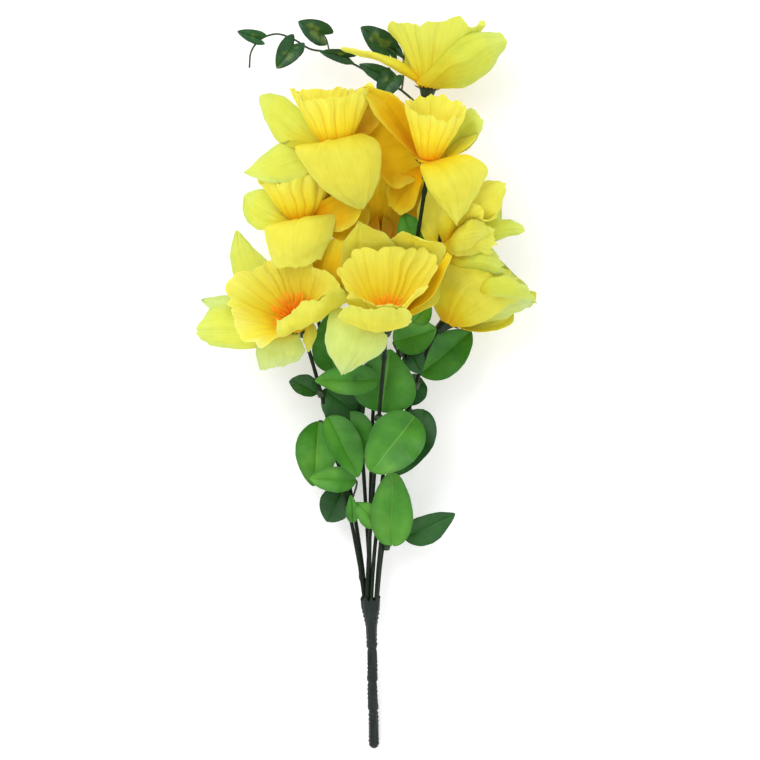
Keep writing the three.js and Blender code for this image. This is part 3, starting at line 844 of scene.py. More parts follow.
@dataclass(frozen=True)
class Petal:
    """One petal, by its turn round the bloom's axis and its cut, in degrees and millimetres.

    It leaves the root lifted off the bloom's plane and bends further towards its tip, the earlier the
    greater its snap is. It twists about its own middle, and its base is a share of its width.
    """

    turn: float
    lift: float
    bend: float
    length: float
    width: float = 36.0
    tip: Tip = Tip.POINTED
    cloth: Cloth = Cloth.LEMON
    twist: float = 0.0
    base: float = 0.45
    widest: float = 0.5
    snap: float = 1.0
    cup: float = 0.12
    wave: float = 1.5
    keel: float = 0.6
    phase: float = 0.0
    level: float = 0.8
    seed: int = 0

    ROOT = 5.3
    THICKNESS = 0.32
    ROWS = 40
    COLUMNS = 29
    TIP_CURL = 22.0
    TWISTED_BY = 0.55
    TORN, FRAYED = 0.045, 0.024
    NIBBLED = 0.06
    BUCKLE, BUCKLE_SIZE = 1.8, 30.0
    PUCKER, PUCKER_SIZE = 0.35, 12.0
    CREASES = Creases(5, 0.8, 0.35, 0.9, 0.045, 0.11)

    def outline(self, s: np.ndarray) -> np.ndarray:
        """Give the half-width along the petal.

        Args:
            s: Share of the length, from root to tip.

        Returns:
            Half-width as a share of the widest.
        """
        late, rounded, left = self.tip.value
        rising = self.base + (1 - self.base) * np.sin(np.pi / 2 * np.clip(s / self.widest, 0, 1)) ** 0.9
        past = np.clip((s - self.widest) / (1 - self.widest), 0, 1)
        return np.where(s < self.widest, rising, np.maximum((1 - past**late) ** rounded, left))

    def midline(self, s: np.ndarray) -> tuple[np.ndarray, np.ndarray, np.ndarray]:
        """Follow the petal's middle from its root.

        Args:
            s: Share of the length.

        Returns:
            Distance from the bloom's axis, height along it, and angle in radians.
        """
        fine = np.linspace(0, 1.1, 221)
        share = 1 - np.maximum(1 - fine, 0) ** self.snap
        tip_curl = np.random.default_rng(self.seed + 21).uniform(-self.TIP_CURL, self.TIP_CURL) * fine**4
        angle = np.radians(self.lift + self.bend * share + tip_curl)
        step = self.length * fine[1]
        reach = self.ROOT + step * np.concatenate([[0], np.cumsum(np.cos(angle))[:-1]])
        rise = self.level + step * np.concatenate([[0], np.cumsum(np.sin(angle))[:-1]])
        return np.interp(s, fine, reach), np.interp(s, fine, rise), np.interp(s, fine, angle)

    def relief(self, s: np.ndarray, v: np.ndarray, half: np.ndarray) -> np.ndarray:
        """Work out how far the cloth stands off its middle plane.

        Args:
            s: Share of the length.
            v: Place across, from -1 to 1.
            half: Half-width there, in millimetres.

        Returns:
            The height, in millimetres.
        """
        bowl = self.cup * half * v * v
        other_side = np.where(v > 0, 2.0, 0.0)
        wavy = self.wave * s * np.abs(v) ** 1.5 * np.sin(2.2 * np.pi * s + self.phase + other_side)
        flutter = self.wave * 0.8 * s**1.5 * np.abs(v) ** 2.5 * swell(s * 1.9 + other_side, self.seed + 2, 3)
        keel = -self.keel * np.exp(-((v / 0.1) ** 2)) * np.sin(np.pi * np.clip(s, 0, 1)) ** 0.5
        return bowl + wavy + flutter + keel + self.CREASES.press(s, v, self.width, self.seed + 11)

    def surface(self) -> tuple[np.ndarray, np.ndarray]:
        """Work out the petal's middle surface in its bloom's frame.

        Returns:
            Points and UV places, rows x columns.
        """
        s, v, uv = spread_sheet(1 - (1 - np.linspace(0, 1, self.ROWS)) ** 1.3, self.COLUMNS)
        ragged_tip = 0.2 + 2 * self.tip.value[2]
        torn = self.TORN * swell(v * 0.8, self.seed, 2)
        torn = torn + self.FRAYED * swell(v * 3.1, self.seed + 4, 3, 0.8)
        reach, rise, angle = self.midline(s + ragged_tip * s**5 * torn)
        nibble = self.NIBBLED * swell(s * 2.1 + (v > 0) * 7, self.seed + 1, 4, 0.65)
        half = self.width / 2 * self.outline(s) * (1 + nibble * v**2 * s**0.5)
        turned = np.clip(s / self.TWISTED_BY, 0, 1)
        roll = math.radians(self.twist) * turned * turned * (3 - 2 * turned)
        lifted = self.relief(s, v, half)
        sideways = half * v * np.cos(roll) - lifted * np.sin(roll)
        outwards = half * v * np.sin(roll) + lifted * np.cos(roll)
        out = spoke(math.radians(self.turn))
        side = np.array([-out[1], out[0], 0.0])
        points = (reach - outwards * np.sin(angle))[..., None] * out + sideways[..., None] * side
        points[..., 2] += rise + outwards * np.cos(angle)
        points = crumple(points, self.seed + 3, self.BUCKLE_SIZE, self.BUCKLE * s)
        return crumple(points, self.seed + 5, self.PUCKER_SIZE, self.PUCKER * s), uv


@dataclass(frozen=True)
class Drape:
    """A petal laid point by point in the bunch's frame: its left edge, middle and right edge, root to tip."""

    left: tuple[Point, ...]
    middle: tuple[Point, ...]
    right: tuple[Point, ...]
    cloth: Cloth = Cloth.LEMON
    wave: float = 1.0
    seed: int = 0

    COLUMNS = 33
    STEPS = 10
    CREASES = Creases(6, 0.85, 0.45, 0.95, 0.04, 0.09)
    FLUTTER = 0.9
    # A tip is torn by so much where it is at least so wide.
    TORN, TORN_WIDTH = 1.3, 18.0
    FRAYED = 0.9
    EDGE = 0.55
    BUCKLE, BUCKLE_SIZE = 0.9, 26.0
    PUCKER, PUCKER_SIZE = 0.36, 9.0

    def surface(self) -> tuple[np.ndarray, np.ndarray]:
        """Work out the petal's middle surface.

        Returns:
            Points and UV places, rows x columns.
        """
        ribs = [smooth_path(np.array(rib, float), self.STEPS) for rib in (self.left, self.middle, self.right)]
        s, v, uv = spread_sheet(np.linspace(0, 1, len(ribs[0])), self.COLUMNS)
        shares = (v * (v - 1) / 2, 1 - v * v, v * (v + 1) / 2)
        points = sum(share[..., None] * rib[:, None, :] for share, rib in zip(shares, ribs))
        width = np.linalg.norm(ribs[2] - ribs[0], axis=1)
        flutter = self.wave * self.FLUTTER * s**1.2 * v**2 * swell(s * 1.7 + (v > 0) * 2.0, self.seed + 2, 3)
        relief = flutter + self.CREASES.press(s, v, width.max(), self.seed + 11)
        points = points + grid_normals(points) * relief[..., None]
        along = unit(np.gradient(points, axis=0))
        torn = swell(v * 0.9, self.seed, 2) + self.FRAYED * swell(v * 3.3, self.seed + 4, 3, 0.8)
        torn = torn * np.minimum(width[-1] / self.TORN_WIDTH, 1.0) * self.TORN * self.wave
        points = points + along * (torn * s**6)[..., None]
        edge = self.EDGE * swell(s * 5 + (v > 0) * 3.0, self.seed + 1, 4, 0.75) * np.abs(v) ** 3 * s**0.5
        points = points + unit(np.gradient(points, axis=1)) * edge[..., None]
        points = crumple(points, self.seed + 3, self.BUCKLE_SIZE, self.BUCKLE * self.wave * s)
        return crumple(points, self.seed + 5, self.PUCKER_SIZE, self.PUCKER * self.wave * s), uv


@dataclass(frozen=True)
class Trumpet:
    """The pleated corona of a bloom, in degrees and millimetres.

    Its rim is either a mouth at one length or a ring of listed corners, each with its angle, reach
    and height. Its lip is lowered towards one angle, and its cloth is frilled and curls outwards there.
    """

    length: float = 33.0
    root: float = 5.4
    mouth: float = 22.0
    flare: float = 0.95
    pleats: int = 10
    pleat: float = 0.1
    frill: float = 1.6
    curl: float = 1.6
    oval: float = 0.0
    oval_turn: float = 0.0
    phase: float = 0.0
    lip: float = 0.0
    lip_turn: float = 0.0
    lime: bool = False
    rim: tuple[Point, ...] = ()
    seed: int = 0

    AROUND = 300
    ROWS = 36
    FLOOR = 1.2
    WALL = 0.35
    FOOT = 2.5
    # How many steps to each side of a rim's corner are rounded.
    ROUNDED = 3
    SCALLOP, NIBBLED, FRAYED = 0.9, 1.6, 0.7
    BUCKLE, BUCKLE_SIZE = 2.6, 28.0
    PUCKER, PUCKER_SIZE = 0.6, 13.0

    def edge(self, turn: np.ndarray) -> tuple[np.ndarray, np.ndarray]:
        """Find the rim round the trumpet, from its listed corners where it has them.

        Args:
            turn: Angles in radians, in even steps once round.

        Returns:
            Reach from the axis and height at each angle.
        """
        if not self.rim:
            return np.full(turn.shape, self.mouth), np.full(turn.shape, self.length)
        turns, reaches, heights = np.array(self.rim, float).T
        found = [np.interp(np.degrees(turn), turns, values, period=360) for values in (reaches, heights)]
        near = range(-self.ROUNDED, self.ROUNDED + 1)
        reach, height = [sum(np.roll(values, step, axis=1) for step in near) / len(near) for values in found]
        return reach, height

    def pleating(self, whole: np.ndarray) -> np.ndarray:
        """Space the pleats unevenly round the trumpet.

        Args:
            whole: Angles in radians, from the seam once round to the seam.

        Returns:
            The pleats' own angle, which grows by half a turn from one pleat to the next.
        """
        drifted = whole + 0.16 * np.sin(2 * whole + self.seed) + 0.1 * np.sin(3 * whole + 2 * self.seed)
        drifted = drifted + 0.05 * np.sin(5 * whole + 3 * self.seed)
        return self.pleats / 2 * drifted + self.phase

    def wall(self, inset: float) -> tuple[np.ndarray, np.ndarray]:
        """Work out one face of the trumpet's cloth.

        Args:
            inset: Distance in from the outside.

        Returns:
            Points and UV places, rows x columns, the places with one more column.
        """
        h = np.linspace(0, 1, self.ROWS)[:, None] ** 0.9
        # The seam is at the back of the bloom, at half a turn.
        whole = np.linspace(np.pi, 3 * np.pi, self.AROUND + 1)[None, :]
        fold = self.pleating(whole)
        turn = whole[:, :-1]
        crest = np.abs(np.cos(fold[:, :-1]))
        # Pleats deepen quickly from the foot, not all alike, and flatten a little at the rim.
        uneven = 1 + 0.4 * np.sin(2 * turn + 1.7 * self.seed) + 0.35 * np.sin(5 * turn + self.seed)
        folds = 1 + 1.7 * self.pleat * uneven * h**0.6 * (1 - 0.45 * h**6) * (crest**0.7 - 0.62)
        flat = 1 + self.oval * h * np.cos(2 * (turn - math.radians(self.oval_turn)))
        reach, top = self.edge(turn)
        radius = (self.root + (reach - self.root) * h**self.flare) * flat * folds
        # Towards the rim the cloth rolls outwards here and there, leans, and is frilled and frayed.
        rolled = 0.5 + 0.9 * ragged(turn, 7, self.seed + 31) + 0.35 * np.sin(3 * turn + 2.3 * self.seed)
        scallops = self.SCALLOP * h**6 * ragged(turn, 37, self.seed + 32)
        radius = radius + self.curl * h**5 * rolled + scallops - inset
        leaning = self.lip * h * h * np.cos(turn - math.radians(self.lip_turn))
        frilled = self.frill * h**4 * (ragged(turn, 15, self.seed + 33) + 0.15 * (crest - 0.5))
        nibble = self.NIBBLED * h**6 * ragged(turn, 25, self.seed + 34)
        nibble = nibble + self.FRAYED * h**8 * ragged(turn, 71, self.seed + 35)
        height = top * h + frilled + nibble - leaning - self.curl * 0.5 * h**6 * rolled
        points = np.stack([radius * np.cos(turn), radius * np.sin(turn), height], -1)
        points = crumple(points, self.seed + 5, self.BUCKLE_SIZE, self.BUCKLE * h**1.5)
        points = crumple(points, self.seed + 6, self.PUCKER_SIZE, self.PUCKER * h)
        u = (fold / np.pi).repeat(self.ROWS, 0)
        return points, np.stack([u, h.repeat(self.AROUND + 1, 1)], -1)

    def add_to(self, skin: Skin) -> None:
        """Add the trumpet to a skin: its two faces, its rim and its floor.

        Args:
            skin: The skin to add it to, in the bloom's frame.
        """
        lift = self.FOOT * UP
        outer, uv = self.wall(0.0)
        inner, _ = self.wall(self.WALL)
        inner[0, :, 2] = self.FLOOR
        outside = skin.patch(outer + lift, uv, 0, flip=True, wrap=True)
        inside = skin.patch(inner + lift, uv, 0, wrap=True)
        skin.add_quads(np.stack([outside[-1], inside[-1]]), np.stack([uv[-1], uv[-1]]), 0)
        skin.fan(outside[0], lift, uv[0], 0)
        skin.fan(inside[0], (self.FLOOR + self.FOOT) * UP, uv[0], 0)


@dataclass(frozen=True)
class Tuft:
    """The stamens at the bottom of a trumpet."""

    core: float = 3.2
    core_height: float = 5.0
    foot: float = 4.0
    threads: int = 30
    length: float = 11.0
    spread: float = 40.0
    radius: float = 0.42
    anther: float = 1.55
    seed: int = 0

    def add_to(self, skin: Skin) -> None:
        """Add the core and its threads to a skin.

        Args:
            skin: The skin to add them to, in the bloom's frame.
        """
        heights = np.linspace(0, 1, 9)
        core = (self.foot + self.core_height * heights)[:, None] * UP
        skin.tube(core, self.core * np.sqrt(np.maximum(1 - heights**2.4, 0.002)), 14, span=(0.0, 0.6))
        draw = np.random.default_rng(self.seed)
        golden = math.pi * (3 - math.sqrt(5))
        along = np.linspace(0, 1, 8)[:, None]
        radii = self.radius * (1 - 0.3 * along[:, 0]) * np.where(along[:, 0] > 0.8, self.anther, 1.0)
        radii[-1] = self.radius * 0.5
        for k in range(self.threads):
            share = math.sqrt((k + 0.5) / self.threads)
            out = spoke(k * golden + draw.uniform(-0.2, 0.2))
            lean = math.radians(self.spread * share)
            length = self.length * draw.uniform(0.8, 1.1)
            start = out * self.core * 0.75 * share + (self.foot + self.core_height * 0.4) * UP
            reach = out * math.sin(lean) + math.cos(lean) * UP
            curl = np.cross(reach, out) * draw.uniform(-0.6, 0.6) + out * 0.7
            skin.tube(start + reach * length * along + curl * along**2.2, radii, 6)


@dataclass(frozen=True)
class Cup:
    """The green cup under a bloom, with its pointed fringe."""

    height: float = 10.0
    neck: float = 2.9
    rim: float = 5.0
    ribs: int = 7
    teeth: int = 14
    tooth_root: float = 3.6
    tooth_length: float = 4.4
    tooth_width: float = 2.3
    thickness: float = 0.35
    seed: int = 0

    SIDES = 28

    def add_bell(self, skin: Skin) -> None:
        """Add the ribbed bell with the small collar at its neck.

        Args:
            skin: The skin to add it to, in the bloom's frame.
        """
        bell = [(0.2, 0.0), (4.3, 0.0), (self.rim, -0.5), (self.rim - 0.2, -1.4), (4.2, -3.2), (3.6, -5.4)]
        collar = [(self.neck + 0.4, -6.3), (3.5, -6.9), (self.neck + 0.1, -7.7), (self.neck, -9.2)]
        end = [(2.6, -self.height), (1.4, -self.height)]
        turns = np.linspace(0, 2 * np.pi, self.SIDES, endpoint=False)
        rings = []
        for radius, height in bell + collar + end:
            ribbed = radius * (1 + 0.035 * np.cos(self.ribs * turns) * min(1, radius / 4))
            ring = [ribbed * np.cos(turns), ribbed * np.sin(turns), np.full(self.SIDES, height)]
            rings.append(np.stack(ring, -1))
        skin.sleeve(np.array(rings)[::-1])

    def add_to(self, skin: Skin) -> None:
        """Add the bell and its fringe of teeth to a skin.

        Args:
            skin: The skin to add them to, in the bloom's frame.
        """
        self.add_bell(skin)
        draw = np.random.default_rng(self.seed)
        s, v, uv = spread_sheet(np.linspace(0, 1, 9), 5)
        across = self.tooth_width / 2 * np.maximum(1 - s**1.3, 0.05) * v
        climb = -0.9 + 1.9 * s**1.4 + 0.2 * np.abs(v)
        for k in range(self.teeth):
            out = spoke(2 * math.pi * (k + draw.uniform(-0.25, 0.25)) / self.teeth)
            side = np.array([-out[1], out[0], 0.0])
            reach = self.tooth_length + draw.uniform(-0.5, 0.9)
            ahead = self.tooth_root + reach * s * (1 - 0.08 * s)
            grid = ahead[..., None] * out + across[..., None] * side + climb[..., None] * UP
            skin.blade(grid, uv, self.thickness)


@dataclass
class Bloom:
    """One daffodil: where it sits, the way it faces, and its pieces."""

    name: str
    at: Point
    face: Point
    petals: list[Petal]
    drapes: list[Drape]
    trumpet: Trumpet
    bow: Point = (0.0, 0.0, 0.0)
    tuft: Tuft = Tuft()
    seed: int = 0

    HUB_RADIUS = 6.6
    HUB_HEIGHT = 2.2
    INNER_WHORL = 1.75
    OUTER_WHORL = 0.8

    def axes(self) -> np.ndarray:
        """Work out the bloom's own axes, with x as near to up as its face allows.

        Returns:
            A 3 x 3 array whose rows are the x, y and z axes.
        """
        z = unit(np.array(self.face))
        x = unit(UP - z * z[2])
        return np.array([x, np.cross(z, x), z])

    def placed(self, points: np.ndarray) -> np.ndarray:
        """Move points from the bloom's frame into the bunch's."""
        return points @ self.axes() + np.array(self.at)

    def petal_skin(self) -> Skin:
        """Gather the petals and the disc that they spring from.

        Returns:
            The skin, in the bunch's frame.
        """
        skin = Skin()
        inner = sorted(self.petals, key=lambda petal: -petal.lift)[:3]
        for k, petal in enumerate(self.petals):
            level = self.INNER_WHORL if petal in inner else self.OUTER_WHORL
            cut = replace(petal, phase=1.7 * k, level=level, seed=self.seed * 40 + k * 6)
            points, uv = cut.surface()
            skin.blade(above_table(self.placed(points)), uv, Petal.THICKNESS, petal.cloth.value)
        for k, drape in enumerate(self.drapes):
            points, uv = replace(drape, seed=self.seed * 60 + k * 7).surface()
            skin.blade(above_table(points), uv, Petal.THICKNESS, drape.cloth.value)
        heights = np.array([0.0, 0.4, self.HUB_HEIGHT - 0.4, self.HUB_HEIGHT])
        radii = self.HUB_RADIUS * np.array([0.86, 1.0, 1.0, 0.86])
        skin.sleeve(self.placed(round_rings(heights[:, None] * UP, radii, 24)), span=(0.0, 0.05))
        return skin

    def dress(self, cloths: dict[str, Material]) -> None:
        """Build the bloom's four pieces.

        Args:
            cloths: Materials by name.
        """
        # The petal cloths by number; the golden one is painted shade.
        dyes_and_shade = [cloths[dye_and_shade.name.lower()] for dye_and_shade in Cloth]
        petals = self.petal_skin().build(f"cloth_petals_{self.name}", dyes_and_shade)
        settle(petals, f"petals_{self.name}")
        trumpet_dye = "lime_trumpet" if self.trumpet.lime else "trumpet"
        for part, piece, finish, slot, node in (
            (self.trumpet, "cloth_trumpet", trumpet_dye, Slot.CORONA, "corona"),
            (self.tuft, "tuft", "stamen", Slot.STAMEN, "stamens"),
            (Cup(), "cup", "cup", Slot.CALYX, "calyx"),
        ):
            skin = Skin()
            replace(part, seed=self.seed).add_to(skin)
            skin.points = [self.placed(points) for points in skin.points]
            settle(skin.build(f"{piece}_{self.name}", [cloths[finish]]), f"{node}_{self.name}")


# Drapes are the petals whose folds follow no rule; they are laid from a few points each.
# Petals of golden cloth are painted shade, laid where petals lie in shade between the blooms.
BLOOMS = [
    Bloom("top", (33, 405, 39.6), (0.12, 0.98, -0.02), bow=(16, 0, -12), seed=1, petals=[
        Petal(100, 30, 10, 42, 30, Tip.BLUNT, Cloth.LIME),
        Petal(142, 28, 10, 50, 32),
        Petal(170, 42, 18, 44, 30),
        Petal(198, 46, 10, 40, 26),
    ], drapes=[
        Drape(((26, 408, 45), (34, 422, 46), (42, 436, 50), (56, 439, 52), (76, 439, 50)),
              ((32, 406, 48), (45, 419, 57), (56, 425, 60), (67, 431, 58), (80, 434, 52)),
              ((39, 405, 45), (48, 405, 46), (57, 406, 48), (71, 416, 48), (79, 428, 48)), Cloth.LIME, 1.0),
        Drape(((30, 411, 42), (19, 420, 44), (7, 425, 46), (-6, 428, 48), (-19, 430, 48)),
              ((29, 409, 44), (18, 417, 48), (6, 423, 50), (-6, 427, 51), (-20, 429, 49)),
              ((29, 407, 42), (17, 414, 45), (6, 420, 48), (-7, 424, 49), (-18, 428, 48)), Cloth.LEMON, 0.8),
    ], trumpet=Trumpet(mouth=27, length=37, pleats=9, phase=0.4, frill=2.6, lip=-4, lip_turn=90, lime=True)),
    Bloom("upper_left", (-22, 366, 78), (-0.1, 0.93, 0.34), bow=(0, 0, -8), seed=2, petals=[
        Petal(106, -8, 4, 50, 58, Tip.BLUNT, Cloth.GOLDEN, 60, base=0.7),
        Petal(146, 30, 4, 36, 36, Tip.POINTED, Cloth.GOLDEN),
        Petal(190, 34, 14, 35),
        Petal(276, -8, -6, 54, 26, Tip.POINTED, Cloth.LIME, -60),
    ], drapes=[
        Drape(((-26, 368, 82), (-38, 370, 86), (-48, 367, 88), (-39, 352, 92), (-24, 337, 92), (-9, 330, 86)),
              ((-22, 369, 84), (-23, 372, 99), (-21, 365, 107), (-17, 353, 107), (-12, 340, 99),
               (-8, 330, 86)),
              ((-18, 370, 84), (-9, 376, 90), (2, 371, 94), (5, 359, 96), (1, 343, 92), (-6, 330, 86)),
              Cloth.LEMON, 1.2),
        Drape(((-24, 368, 80), (-34, 381, 80), (-45, 391, 82), (-54, 398, 84), (-64, 400, 86)),
              ((-26, 367, 78), (-42, 376, 75), (-53, 384, 77), (-61, 392, 81), (-69, 399, 86)),
              ((-27, 366, 80), (-44, 367, 80), (-58, 371, 80), (-65, 382, 82), (-69, 394, 85)),
              Cloth.LIME, 1.0),
    ], trumpet=Trumpet(
        mouth=23, length=37, flare=0.68, pleats=17, frill=3.8, curl=0.7, oval=0.06, oval_turn=90, phase=0.9,
        lip=-6,
    )),
    Bloom("upper_right", (33, 358, 88), (0.12, 0.96, 0.18), bow=(0, 0, -18), seed=3, petals=[
        Petal(140, 38, 14, 42),
        Petal(190, 40, 10, 38),
    ], drapes=[
        Drape(((30, 359, 92), (28, 355, 97), (32, 344, 99), (40, 332, 96), (49, 322, 90)),
              ((34, 359, 94), (40, 354, 107), (45, 344, 109), (48, 333, 102), (50, 321, 90)),
              ((38, 360, 92), (56, 363, 96), (69, 355, 95), (64, 341, 92), (51, 323, 90)), Cloth.LEMON, 1.2),
        Drape(((31, 359, 88), (20, 367, 92), (9, 378, 96), (-1, 390, 99), (-8, 401, 101)),
              ((32, 361, 84), (22, 373, 79), (14, 385, 81), (6, 395, 88), (-7, 403, 101)),
              ((33, 362, 86), (28, 377, 80), (22, 390, 80), (12, 400, 86), (-4, 405, 100)),
              Cloth.GOLDEN, 1.0),
        Drape(((38, 361, 88), (44, 376, 83), (51, 387, 81), (59, 391, 82)),
              ((39, 360, 88), (48, 370, 80), (56, 379, 79), (64, 386, 81)),
              ((40, 359, 90), (50, 363, 88), (59, 368, 86), (66, 379, 86)), Cloth.LIME, 1.0),
        Drape(((29, 357, 82), (20, 354, 76), (11, 349, 72), (7, 341, 71)),
              ((30, 356, 80), (21, 348, 70), (15, 340, 66), (10, 332, 69)),
              ((31, 354, 80), (28, 343, 74), (24, 332, 71), (17, 327, 70)), Cloth.GOLDEN, 0.9),
    ], trumpet=Trumpet(
        mouth=18, length=34, flare=0.75, pleats=13, frill=3.6, curl=0.8, phase=2.1, lip=3, lip_turn=20,
    )),
    Bloom("middle_left", (-44, 322, 60), (-0.1, 0.95, 0.26), bow=(0, 0, -8), seed=4, petals=[
        Petal(88, 6, 4, 37, 40, Tip.BLUNT, Cloth.GOLDEN, 55, base=0.7),
        Petal(130, 26, 12, 40, 34, Tip.BLUNT, Cloth.GOLDEN),
        Petal(184, 36, 10, 42),
        Petal(260, 26, 6, 33, 27, Tip.BLUNT, Cloth.LIME, -58),
    ], drapes=[
        Drape(((-48, 323, 64), (-58, 322, 68), (-66, 319, 74), (-65, 308, 78), (-61, 297, 80)),
              ((-44, 324, 66), (-45, 325, 82), (-46, 319, 89), (-47, 307, 90), (-47, 295, 86)),
              ((-40, 326, 64), (-32, 327, 70), (-24, 326, 76), (-26, 312, 80), (-32, 299, 81)),
              Cloth.LEMON, 1.2),
        Drape(((-42, 325, 62), (-32, 335, 72), (-22, 340, 78), (-15, 343, 80)),
              ((-41, 323, 62), (-29, 329, 72), (-19, 333, 77), (-7, 335, 81)),
              ((-40, 321, 62), (-30, 318, 74), (-20, 316, 79), (-10, 323, 81)), Cloth.GOLDEN, 1.2),
    ], trumpet=Trumpet(
        mouth=21, length=29, flare=0.65, pleats=15, frill=3.2, curl=0.7, phase=0.2, oval=0.1, oval_turn=90,
        lip=-4,
    )),
    Bloom("lower_left", (-46, 260, 64), (-0.3, 0.6, 0.74),
          tuft=Tuft(threads=70, length=16, spread=50), seed=5, petals=[
        Petal(112, 30, 6, 36, 40, Tip.BLUNT, Cloth.GOLDEN),
        Petal(232, 20, -4, 57, 22, Tip.POINTED, Cloth.PALE),
    ], drapes=[
        Drape(((-48, 259, 67), (-54, 253, 84), (-58, 255, 98), (-59, 263, 105)),
              ((-46, 259, 66), (-41, 259, 86), (-38, 264, 100), (-39, 274, 107)),
              ((-43, 261, 66), (-24, 269, 84), (-17, 276, 98), (-19, 283, 105)), Cloth.LEMON, 2.2),
        Drape(((-47, 262, 63), (-69, 275, 58), (-83, 285, 54), (-88, 299, 52), (-86, 316, 54)),
              ((-47, 263, 62), (-62, 279, 55), (-75, 291, 51), (-80, 303, 51), (-84, 318, 54)),
              ((-45, 263, 62), (-54, 282, 56), (-62, 295, 52), (-72, 305, 52), (-82, 315, 54)),
              Cloth.LIME, 1.0),
        Drape(((-48, 261, 64), (-69, 269, 64), (-84, 272, 66), (-99, 272, 67), (-103, 266, 66)),
              ((-47, 259, 63), (-67, 258, 66), (-83, 258, 69), (-98, 258, 69), (-108, 257, 65)),
              ((-47, 258, 64), (-64, 248, 62), (-80, 245, 62), (-97, 247, 62), (-104, 251, 62)),
              Cloth.LIME, 1.0),
        Drape(((-49, 258, 64), (-67, 254, 67), (-72, 244, 67), (-70, 233, 64)),
              ((-47, 258, 63), (-57, 250, 72), (-58, 242, 71), (-58, 234, 66)),
              ((-45, 258, 64), (-45, 252, 66), (-42, 244, 66), (-46, 238, 64)), Cloth.PALE, 0.9),
        Drape(((-46, 259, 66), (-42, 257, 68), (-43, 252, 69), (-40, 244, 66)),
              ((-45, 259, 66), (-40, 259, 70), (-39, 252, 72), (-40, 244, 66)),
              ((-44, 259, 66), (-37, 261, 68), (-35, 253, 69), (-39, 244, 66)), Cloth.LEMON, 0.6),
        Drape(((-45, 264, 60), (-42, 282, 66), (-38, 297, 70), (-34, 310, 72)),
              ((-43, 264, 60), (-32, 279, 72), (-27, 295, 76), (-23, 312, 76)),
              ((-42, 263, 60), (-21, 275, 74), (-15, 294, 78), (-13, 311, 78)), Cloth.GOLDEN, 0.8),
    ], trumpet=Trumpet(
        mouth=32, length=27, flare=0.9, pleats=20, pleat=0.08, phase=1.2, curl=2.4, frill=3.6, rim=(
            (20, 15, 26), (59, 24, 26), (68, 36, 26), (88, 30, 28), (118, 26, 30), (157, 26, 30),
            (188, 30, 28), (213, 40, 26), (225, 40, 26), (239, 37, 26), (260, 32, 26), (281, 33, 24),
            (302, 35, 26), (319, 33, 24), (329, 25, 24), (334, 17, 24),
        ),
    )),
    Bloom("lower_middle", (8, 262, 90), (0.06, 0.82, 0.56), bow=(0, 0, -14), seed=6, petals=[
        Petal(150, 8, 4, 44),
        Petal(215, 6, 4, 42, 34),
    ], drapes=[
        Drape(((5, 263, 86), (-17, 281, 82), (-20, 297, 80), (-17, 312, 88), (-10, 322, 98)),
              ((7, 264, 85), (0, 283, 77), (-4, 300, 76), (-5, 312, 87), (-9, 323, 99)),
              ((10, 264, 86), (18, 285, 74), (17, 301, 76), (9, 313, 86), (-7, 321, 98)), Cloth.LEMON, 1.2),
        Drape(((9, 264, 85), (6, 288, 72), (6, 306, 76), (12, 313, 86), (17, 316, 94)),
              ((10, 264, 84), (20, 288, 70), (23, 304, 75), (24, 312, 87), (21, 316, 95)),
              ((11, 264, 85), (31, 284, 74), (41, 299, 78), (43, 308, 87), (27, 312, 92)), Cloth.LEMON, 1.2),
        Drape(((10, 264, 86), (21, 277, 84), (31, 288, 86), (39, 296, 87), (45, 304, 89)),
              ((10, 263, 85), (21, 272, 84), (34, 283, 88), (42, 295, 91), (46, 303, 92)),
              ((10, 261, 88), (20, 267, 93), (35, 277, 98), (43, 292, 98), (47, 302, 95)), Cloth.GOLDEN, 0.8),
        Drape(((5, 262, 90), (-12, 260, 101), (-21, 264, 113), (-19, 272, 122)),
              ((8, 261, 91), (1, 256, 106), (1, 259, 119), (1, 269, 129)),
              ((11, 262, 90), (18, 259, 101), (23, 262, 113), (21, 270, 124)), Cloth.LEMON, 2.2),
        Drape(((5, 261, 87), (-23, 270, 88), (-29, 255, 90), (-28, 244, 90), (-20, 230, 86)),
              ((7, 260, 86), (-7, 258, 93), (-12, 248, 96), (-15, 239, 93), (-20, 230, 86)),
              ((10, 259, 87), (8, 257, 88), (7, 246, 88), (-5, 237, 88), (-18, 230, 86)), Cloth.PALE, 1.0),
    ], trumpet=Trumpet(
        mouth=30, length=30, flare=0.9, pleats=20, pleat=0.08, phase=0.5, curl=1.8, frill=3.2, rim=(
            (18, 23, 26), (65, 18, 26), (108, 26, 26), (124, 33, 28), (138, 38, 31), (150, 34, 34),
            (169, 30, 34), (192, 28, 34), (217, 30, 32), (235, 31, 28), (259, 31, 26), (285, 30, 26),
            (308, 30, 26), (330, 28, 28), (351, 30, 28),
        ),
    )),
    Bloom("lower_right", (46, 263, 42), (0.74, 0.66, -0.1), seed=7, petals=[
        Petal(130, 24, 52, 42, 38, Tip.BLUNT, snap=3.0),
        Petal(180, 30, 46, 40, 38, Tip.BLUNT, Cloth.LIME, snap=3.0),
        Petal(232, 30, 46, 38, 36, Tip.BLUNT, snap=3.0),
    ], drapes=[
        Drape(((41, 263, 48), (35, 277, 53), (39, 294, 56), (53, 301, 57), (67, 299, 56), (81, 294, 54)),
              ((45, 261, 50), (50, 274, 66), (56, 282, 72), (65, 286, 73), (77, 286, 68), (91, 284, 58)),
              ((48, 259, 46), (59, 259, 53), (70, 264, 60), (80, 271, 61), (88, 275, 59), (95, 277, 55)),
              Cloth.LEMON, 2.2),
        Drape(((47, 262, 36), (59, 271, 32), (74, 277, 30), (87, 282, 32), (99, 280, 40)),
              ((47, 261, 34), (60, 266, 28), (73, 269, 27), (86, 274, 31), (99, 276, 41)),
              ((48, 260, 40), (59, 259, 42), (71, 262, 44), (84, 269, 45), (97, 272, 46)), Cloth.LEMON, 0.8),
